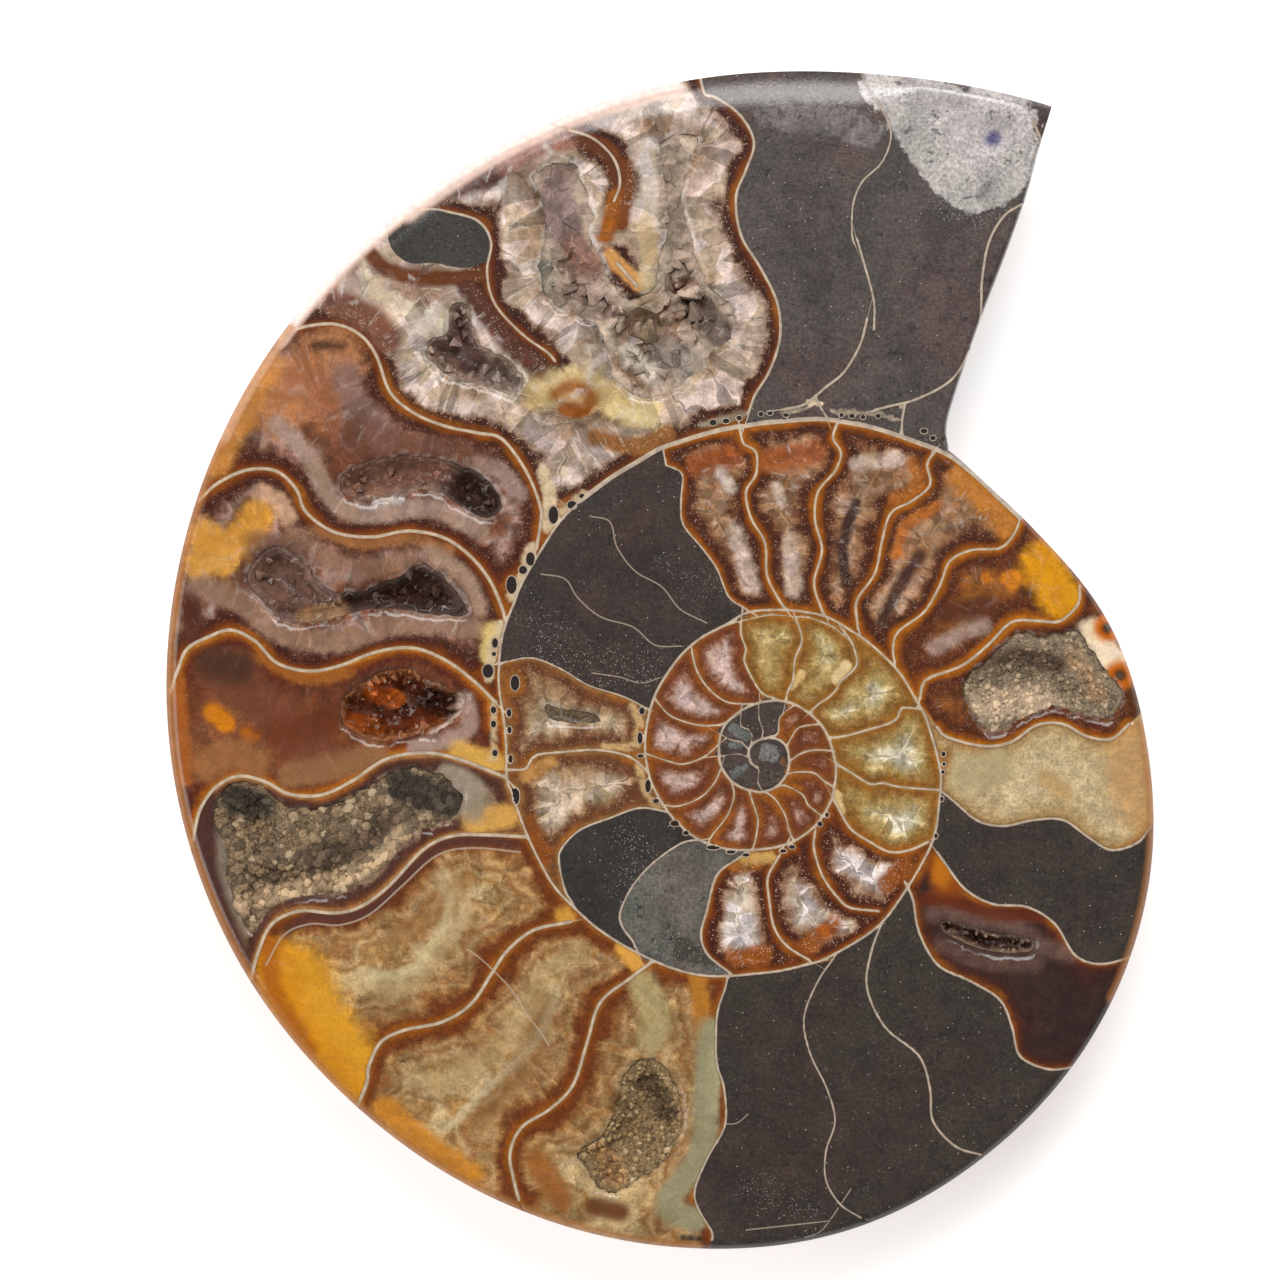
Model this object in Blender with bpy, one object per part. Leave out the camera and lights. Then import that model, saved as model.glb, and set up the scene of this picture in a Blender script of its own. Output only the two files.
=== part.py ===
"""Half of a coiled fossil shell, sawn through its middle plane and polished.

It lies on its outer flank with the sawn face up. The shell itself is one solid: the rim is a
spiral, the hidden flank swells and has a sunken navel, and a small spot of the flank is flat, so
that it rests level. Hollow chambers are pits in the sawn face. Each one holds a single crust of
crystals or of cemented sand, its own solid, set 0.3 mm clear of the pit.

Places are traced on a sheet 128 mm square, in millimetres, x to the right and y downwards.
Frame: metres, +Z up, origin under the middle of the bounding box, on the resting plane.
"""
import math
import random

import bmesh
import bpy
from mathutils import Vector
from mathutils.geometry import delaunay_2d_cdt

MM = 0.001

# Driving dimensions, in millimetres unless the comment says otherwise.
SHEET_MIDDLE = (65.85, 65.95)    # middle of the shell's bounding box on the sheet
COIL = (76.6, 75.2)              # middle of the coil on the sheet
THICKNESS = 15.0                 # sawn face above the resting plane
HALF_WIDTH = 15.8                # swell of the last whorl at the mouth, before the flat spot
SWELL_GROWTH = 0.35              # power by which the swell follows the whorl's radius
NAVEL_SHARE = 0.27               # a whorl's navel edge as a share of its radius
WHORL_RATIO = 1.95               # radius of a whorl over that of the whorl inside it
RIM_DROP = 1.6                   # sawn face down to where the flank begins
RIM_ROUND = 1.5                  # width of the rounded edge round the sawn face
GAP = 0.3                        # clearance between a crust and its pit
PIT_RISE = 2.0                   # how far the pit cutters reach above the sawn face

# The mouth's broken edge, from the previous whorl out to the tip.
MOUTH = [(94.9, 45.0), (94.7, 42.6), (95.6, 39.2), (98.0, 32.2), (100.6, 25.4), (102.7, 19.4), (104.3, 13.6)]

# Radius of the rim round the coil's middle, by angle in degrees counter-clockwise from +X.
RIM = [
    (66.1, 70.7), (80, 68.85), (100, 67.45), (120, 65.6), (140, 64.0), (160, 61.95), (180, 59.65),
    (200, 57.05), (220, 54.35), (240, 52.25), (260, 50.4), (280, 48.6), (300, 45.85), (320, 43.25),
    (340, 40.7), (360, 38.3), (380, 36.75), (400, 34.9), (410, 34.75), (418.8, 35.3),
]
TIP_ANGLE = RIM[0][0]
TIP_RADIUS = RIM[0][1]
INNER_ANGLE = RIM[-1][0]
SPOKE_STEP = 5.5                 # degrees between the spokes of the flank

# Shares of a spoke's length at which the flank's rings lie, from the navel to the rim.
RINGS = [0.05, 0.1, 0.132, 0.15, 0.2, 0.258, 0.285, 0.35, 0.45, 0.57, 0.69, 0.79, 0.87, 0.93, 0.97, 0.99]

# Hollows: name, depth, distance between crystal points, height of the points, colour, outline.
HOLLOWS = [
    ("crust_great_hollow", 5.2, 1.05, 1.7, (0.56, 0.47, 0.46), [
        (53.4, 17.8), (55.0, 16.6), (57.4, 16.6), (58.4, 19.0), (59.3, 21.6), (59.0, 23.8),
        (60.2, 25.8), (61.0, 28.2), (63.0, 29.8), (65.2, 28.8), (65.9, 26.2), (66.6, 23.4),
        (66.7, 20.0), (66.4, 17.0), (66.2, 14.4), (67.8, 13.3), (69.6, 13.6), (69.2, 15.8),
        (68.4, 18.0), (68.3, 20.8), (69.2, 23.6), (69.6, 25.8), (70.6, 28.0), (72.2, 29.6),
        (73.6, 31.4), (73.0, 33.8), (71.2, 34.9), (70.2, 36.8), (68.2, 38.4), (66.0, 39.7),
        (63.6, 39.6), (61.4, 37.9), (60.8, 35.4), (60.0, 32.8), (57.6, 31.5), (54.8, 29.8),
        (53.9, 27.4), (54.3, 24.4), (54.4, 20.6)]),
    ("crust_third_chamber", 5.0, 1.0, 1.4, (0.56, 0.48, 0.48), [
        (45.0, 30.8), (46.6, 30.6), (47.4, 32.8), (48.4, 34.8), (50.6, 35.8), (52.2, 37.8),
        (51.4, 39.4), (48.6, 38.6), (46.0, 38.0), (43.4, 36.6), (42.6, 34.4), (44.6, 33.4)]),
    ("crust_fourth_chamber", 5.0, 1.0, 1.4, (0.50, 0.42, 0.42), [
        (34.4, 49.4), (34.2, 47.4), (37.0, 46.0), (41.0, 45.6), (45.2, 46.2), (48.6, 47.8),
        (50.2, 50.4), (48.8, 51.8), (46.4, 50.8), (43.8, 49.2), (41.0, 49.0), (37.4, 50.0)]),
    ("crust_fifth_chamber", 5.0, 1.05, 1.4, (0.48, 0.40, 0.40), [
        (24.6, 57.4), (27.4, 54.6), (30.4, 56.4), (32.6, 58.8), (36.0, 59.2), (39.4, 57.8),
        (42.4, 56.4), (45.2, 58.6), (46.6, 61.4), (43.4, 61.4), (39.0, 60.8), (35.2, 61.2),
        (31.8, 62.2), (28.4, 62.0), (26.0, 60.0)]),
    ("crust_sixth_chamber", 5.0, 1.05, 1.2, (0.52, 0.24, 0.06), [
        (34.4, 72.4), (34.2, 69.8), (37.0, 67.8), (40.0, 66.8), (43.6, 68.2), (46.4, 69.4),
        (46.0, 71.4), (44.0, 73.0), (40.4, 73.8), (37.0, 74.0)]),
    ("crust_seventh_chamber", 3.8, 1.2, 0.9, (0.36, 0.28, 0.20), [
        (21.4, 81.8), (22.6, 78.8), (25.6, 78.4), (29.0, 80.6), (32.8, 80.6), (36.6, 78.8),
        (40.4, 76.8), (44.2, 77.6), (46.4, 79.8), (44.8, 82.0), (41.0, 83.6), (38.6, 86.4),
        (34.4, 89.2), (29.8, 89.6), (27.2, 91.0), (25.4, 93.2), (23.9, 91.6), (22.8, 88.4),
        (22.6, 85.0)]),
    ("crust_tenth_chamber", 4.0, 1.15, 0.9, (0.42, 0.31, 0.18), [
        (63.6, 106.0), (65.8, 106.0), (67.8, 108.8), (68.2, 113.0), (66.4, 116.2), (63.8, 118.0),
        (61.2, 119.4), (58.8, 117.4), (57.9, 115.0), (60.4, 113.4), (61.6, 110.6), (62.4, 107.6)]),
    ("crust_fifteenth_chamber", 3.0, 0.9, 0.4, (0.30, 0.22, 0.19), [
        (94.2, 92.0), (96.4, 92.4), (99.0, 93.3), (101.6, 93.6), (103.4, 94.0), (103.3, 95.0),
        (101.4, 95.3), (98.4, 95.0), (95.6, 93.9), (94.2, 93.0)]),
    ("crust_eighteenth_chamber", 3.0, 1.15, 0.8, (0.42, 0.32, 0.22), [
        (96.4, 68.6), (98.4, 66.2), (101.4, 63.5), (104.6, 63.6), (107.6, 63.0), (109.2, 65.2),
        (111.2, 67.8), (112.4, 69.6), (111.0, 71.8), (108.4, 71.4), (105.2, 70.6), (102.4, 71.8),
        (99.4, 73.2), (97.4, 71.6)]),
    ("crust_inner_whorl", 1.6, 0.8, 0.3, (0.50, 0.42, 0.28), [
        (54.6, 70.4), (56.4, 70.9), (58.8, 71.2), (60.0, 72.1), (57.2, 72.3), (55.0, 71.8)]),
]


def frame_point(x, y, z):
    """A place on the sheet, at a height in millimetres, as a vector in metres."""
    return Vector(((x - SHEET_MIDDLE[0]) * MM, (SHEET_MIDDLE[1] - y) * MM, z * MM))


def smooth_loop(points, step):
    """Points of a closed smooth curve through the given ones, about `step` apart."""
    loop = []
    count = len(points)
    for i in range(count):
        before, here, there, after = (Vector(points[(i + k) % count]) for k in (-1, 0, 1, 2))
        pieces = max(1, round((there - here).length / step))
        for k in range(pieces):
            t = k / pieces
            loop.append(0.5 * (2 * here + (there - before) * t
                               + (2 * before - 5 * here + 4 * there - after) * t ** 2
                               + (3 * here - before - 3 * there + after) * t ** 3))
    return loop


def signed_area(loop):
    return 0.5 * sum(a.cross(b) for a, b in zip(loop, loop[1:] + loop[:1]))


def inset_loop(loop, distance):
    """The loop moved inwards by a small distance."""
    turn = 1 if signed_area(loop) > 0 else -1
    moved = []
    for i, point in enumerate(loop):
        along = (loop[(i + 1) % len(loop)] - loop[i - 1]).normalized()
        moved.append(point + turn * distance * Vector((-along.y, along.x)))
    return moved


def depth_inside(point, loop):
    """Distance from the loop to a point inside it; negative outside."""
    nearest = math.inf
    inside = False
    for a, b in zip(loop, loop[1:] + loop[:1]):
        edge = b - a
        share = min(1, max(0, (point - a).dot(edge) / edge.length_squared))
        nearest = min(nearest, (point - a - share * edge).length)
        if (a.y > point.y) != (b.y > point.y):
            if point.x < a.x + (point.y - a.y) / edge.y * edge.x:
                inside = not inside
    return nearest if inside else -nearest


def rim_radius(angle):
    """Radius of the last whorl at an angle, smooth through the rim's listed radii."""
    for i in range(len(RIM) - 1):
        if angle <= RIM[i + 1][0]:
            break
    (a0, r0), (a1, r1) = RIM[i], RIM[i + 1]
    before = RIM[max(i - 1, 0)]
    after = RIM[min(i + 2, len(RIM) - 1)]
    width = a1 - a0
    slope0 = (r1 - before[1]) / (a1 - before[0]) * width
    slope1 = (after[1] - r0) / (after[0] - a0) * width
    t = (angle - a0) / width
    return ((2 * t ** 3 - 3 * t ** 2 + 1) * r0 + (t ** 3 - 2 * t ** 2 + t) * slope0
            + (3 * t ** 2 - 2 * t ** 3) * r1 + (t ** 3 - t ** 2) * slope1)


def flank_depth(radius, whorl):
    """How far below the sawn face the flank lies, at a radius from the coil's middle."""
    swell = HALF_WIDTH * (whorl / TIP_RADIUS) ** SWELL_GROWTH
    while radius < NAVEL_SHARE * whorl and whorl > 3:
        whorl /= WHORL_RATIO
        swell /= WHORL_RATIO ** SWELL_GROWTH
    share = min(1, max(0, (radius / whorl - NAVEL_SHARE) / (1 - NAVEL_SHARE)))
    return min(THICKNESS, RIM_DROP + (swell - RIM_DROP) * (1 - share ** 2.6) ** 0.62)


def spokes():
    """Each spoke as its end on the sheet, its whorl's radius, and whether it ends at the mouth."""
    found = []
    count = round((INNER_ANGLE - TIP_ANGLE) / SPOKE_STEP)
    for i in range(count + 1):
        angle = TIP_ANGLE + (INNER_ANGLE - TIP_ANGLE) * i / count
        reach = rim_radius(angle)
        turn = math.radians(angle)
        end = Vector((COIL[0] + reach * math.cos(turn), COIL[1] - reach * math.sin(turn)))
        found.append((end, reach, False))
    for x, y in MOUTH[1:]:
        found.append((Vector((x, y)), TIP_RADIUS, True))
    return found


def make_shell():
    """The sawn half: flat polished top, rounded edge, swelling flank with a sunken navel."""
    mesh = bmesh.new()
    middle = Vector(COIL)
    ends = spokes()
    rings = []
    for share in RINGS + [1.0]:
        ring = []
        for end, whorl, _ in ends:
            place = middle.lerp(end, share)
            depth = flank_depth((place - middle).length, whorl)
            ring.append(mesh.verts.new(frame_point(*place, THICKNESS - depth)))
        rings.append(ring)
    # The rounded edge: three more rings, from the widest line up to the flat sawn face.
    for inward, drop in ((0.0, 0.9), (0.35, 0.3), (1.0, 0.0)):
        ring = []
        for end, _, at_mouth in ends:
            width = RIM_ROUND * (0.25 if at_mouth else 1.0)
            place = end + (middle - end).normalized() * inward * width
            ring.append(mesh.verts.new(frame_point(*place, THICKNESS - drop)))
        rings.append(ring)
    navel = mesh.verts.new(frame_point(*middle, THICKNESS - flank_depth(0, ends[0][1])))
    count = len(ends)
    for i in range(count):
        j = (i + 1) % count
        mesh.faces.new((navel, rings[0][j], rings[0][i]))
        for inner, outer in zip(rings, rings[1:]):
            mesh.faces.new((inner[i], inner[j], outer[j], outer[i]))
    mesh.faces.new(rings[-1])
    return finish_object("shell_half", mesh, (0.30, 0.20, 0.12), 0.15)


def make_cutter(name, outline, depth):
    """A straight-sided plug that removes one hollow from the sawn face."""
    mesh = bmesh.new()
    low = [mesh.verts.new(frame_point(*p, THICKNESS - depth)) for p in outline]
    high = [mesh.verts.new(frame_point(*p, THICKNESS + PIT_RISE)) for p in outline]
    close_sides(mesh, low, high)
    mesh.faces.new(high)
    cutter = finish_object(name, mesh, (0.8, 0.8, 0.8), 0.5)
    cutter.hide_render = True
    cutter.display_type = "WIRE"
    return cutter


def close_sides(mesh, low, high):
    """Walls between two rings of corners, and a floor under the lower one."""
    mesh.faces.new(low)
    for i in range(len(low)):
        j = (i + 1) % len(low)
        mesh.faces.new((low[i], low[j], high[j], high[i]))


def make_crust(name, outline, depth, spacing, point_height, colour, seed):
    """One crust that lines a hollow: six-sided crystal points over a floor that dips inwards."""
    rng = random.Random(seed)
    wall = inset_loop(outline, GAP)
    places = list(wall)
    heights = [THICKNESS - 0.1] * len(wall)
    floor = THICKNESS - depth + GAP
    left, right = min(p.x for p in wall), max(p.x for p in wall)
    top, bottom = min(p.y for p in wall), max(p.y for p in wall)
    for row in range(int((bottom - top) / (spacing * 0.866)) + 1):
        for column in range(int((right - left) / spacing) + 2):
            jitter = Vector((rng.uniform(-0.2, 0.2), rng.uniform(-0.2, 0.2))) * spacing
            lift = rng.uniform(0.55, 1.0) * point_height
            place = Vector((left + (column - 0.5 * (row % 2)) * spacing, top + row * spacing * 0.866))
            place += jitter
            inside = depth_inside(place, wall)
            if inside < 0.45 * spacing:
                continue
            sunk = (depth - 1.0) * (1 - math.exp(-inside / 1.3))
            is_point = (column + row // 2 + 2 * row) % 3 == 0
            height = THICKNESS - sunk + (lift if is_point else -0.2 * lift)
            places.append(place)
            heights.append(min(THICKNESS - 0.1, max(height, floor + 0.4)))
    corners, _, faces, origin, _, _ = delaunay_2d_cdt(places, [], [list(range(len(wall)))], 1, 1e-5)
    mesh = bmesh.new()
    upper = [mesh.verts.new(frame_point(*p, heights[origin[i][0]])) for i, p in enumerate(corners)]
    for face in faces:
        mesh.faces.new([upper[i] for i in face])
    ring = {origin[i][0]: upper[i] for i in range(len(corners)) if origin[i][0] < len(wall)}
    high = [ring[i] for i in range(len(wall))]
    low = [mesh.verts.new(frame_point(*p, floor)) for p in wall]
    close_sides(mesh, low, high)
    return finish_object(name, mesh, colour, 0.25)


def finish_object(name, mesh, colour, roughness):
    """Turn a bmesh into an object with its own material, its faces pointing out."""
    bmesh.ops.recalc_face_normals(mesh, faces=mesh.faces)
    data = bpy.data.meshes.new(name)
    mesh.to_mesh(data)
    mesh.free()
    item = bpy.data.objects.new(name, data)
    bpy.context.scene.collection.objects.link(item)
    material = bpy.data.materials.new(name)
    material.use_nodes = True
    shader = material.node_tree.nodes["Principled BSDF"]
    shader.inputs["Base Color"].default_value = (*colour, 1)
    shader.inputs["Roughness"].default_value = roughness
    shader.inputs["Metallic"].default_value = 0
    data.materials.append(material)
    return item


def build():
    for item in list(bpy.data.objects):
        bpy.data.objects.remove(item)
    shell = make_shell()
    shell.data.shade_smooth()
    shell.data.set_sharp_from_angle(angle=math.radians(35))
    for seed, (name, depth, spacing, height, colour, points) in enumerate(HOLLOWS):
        outline = smooth_loop([Vector(p) for p in points], spacing * 1.1)
        cutter = make_cutter("pit_of_" + name, outline, depth)
        cut = shell.modifiers.new(cutter.name, "BOOLEAN")
        cut.operation = "DIFFERENCE"
        cut.solver = "EXACT"
        cut.object = cutter
        make_crust(name, outline, depth, spacing, height, colour, seed)


build()
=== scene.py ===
"""Half of a coiled fossil shell, sawn through the middle and polished, lying with its sawn face up.

Places are traced on a sheet 128 mm square, in millimetres, x to the right and y downwards, and are
turned into metres as each mesh is made. The sections follow the fossil: the half shell with its
walls and fillings, the crystal crusts, the sand crusts, then the table, the light and the camera.
"""
import math

import bpy
import numpy as np
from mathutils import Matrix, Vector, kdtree
from mathutils.geometry import delaunay_2d_cdt


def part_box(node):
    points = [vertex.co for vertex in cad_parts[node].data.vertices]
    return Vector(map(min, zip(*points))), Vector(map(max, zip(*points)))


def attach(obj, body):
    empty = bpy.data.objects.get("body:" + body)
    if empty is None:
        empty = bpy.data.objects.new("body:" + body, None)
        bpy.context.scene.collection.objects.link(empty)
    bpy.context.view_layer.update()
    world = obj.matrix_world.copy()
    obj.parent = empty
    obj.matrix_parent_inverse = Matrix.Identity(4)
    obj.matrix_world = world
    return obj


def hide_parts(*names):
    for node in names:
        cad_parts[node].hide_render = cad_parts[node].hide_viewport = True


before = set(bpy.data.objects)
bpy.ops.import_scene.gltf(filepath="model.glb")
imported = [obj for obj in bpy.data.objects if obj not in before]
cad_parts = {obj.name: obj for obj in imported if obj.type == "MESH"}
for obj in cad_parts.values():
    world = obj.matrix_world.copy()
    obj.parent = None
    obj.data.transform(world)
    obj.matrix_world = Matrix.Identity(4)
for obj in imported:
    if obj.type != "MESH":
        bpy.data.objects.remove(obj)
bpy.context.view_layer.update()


# The half shell. One stony piece: thin cream shell walls, and the calcite and the mudstone that
# filled the chambers between them. It was sawn down the middle and its face was lapped to a
# polish, with the sharp edge rounded off. The hollows are left open in it.
MM = 0.001
SHEET_MIDDLE = (65.85, 65.95)    # middle of the shell's bounding box on the sheet
COIL = np.array((76.6, 75.2))    # middle of the coil on the sheet
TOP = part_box("shell_half")[1].z / MM    # height of the sawn face
TIP_RADIUS = 70.7                # radius of the rim at the mouth's tip
HALF_WIDTH = 15.8                # swell of the last whorl at the mouth
SWELL_GROWTH = 0.35              # power by which the swell follows the whorl's radius
NAVEL_SHARE = 0.27               # a whorl's navel edge as a share of its radius
WHORL_RATIO = 1.95               # radius of a whorl over that of the whorl inside it
RIM_DROP = 1.6                   # sawn face down to where the flank begins
EDGE_DROP = 0.9                  # how far the rounded edge falls away at the rim
FACE_STEP = 0.56                 # distance between the corners on the open face
LINE_STEP = 0.45                 # distance between the corners along a wall
RUN_ON = 2.4                     # how far a wall runs on past its ends, to shut its chambers
WALL_ROWS = (0.2, 0.46)          # how far from a wall the rows of corners beside it lie
RIM_ROWS = (0.07, 0.18, 0.36, 0.6, 0.9, 1.25, 1.65, 2.1)    # the same beside the rim

# The mouth's broken edge, from the previous whorl out to the tip, then the angles round the coil's
# middle that it lies between and the reach from there that it lies beyond.
MOUTH = [(94.9, 45.0), (94.7, 42.6), (95.6, 39.2), (98.0, 32.2), (100.6, 25.4), (102.7, 19.4),
         (104.3, 13.6)]
MOUTH_ANGLES = (58.9, 66.05)
MOUTH_REACH = 36

# Radius of the rim round the coil's middle, by angle in degrees counter-clockwise.
RIM = [
    (66.1, 70.7), (80, 68.85), (100, 67.45), (120, 65.6), (140, 64), (160, 61.95), (180, 59.65),
    (200, 57.05), (220, 54.35), (240, 52.25), (260, 50.4), (280, 48.6), (300, 45.85), (320, 43.25),
    (340, 40.7), (360, 38.3), (380, 36.75), (400, 34.9), (410, 34.75), (418.8, 35.3),
]

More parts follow.
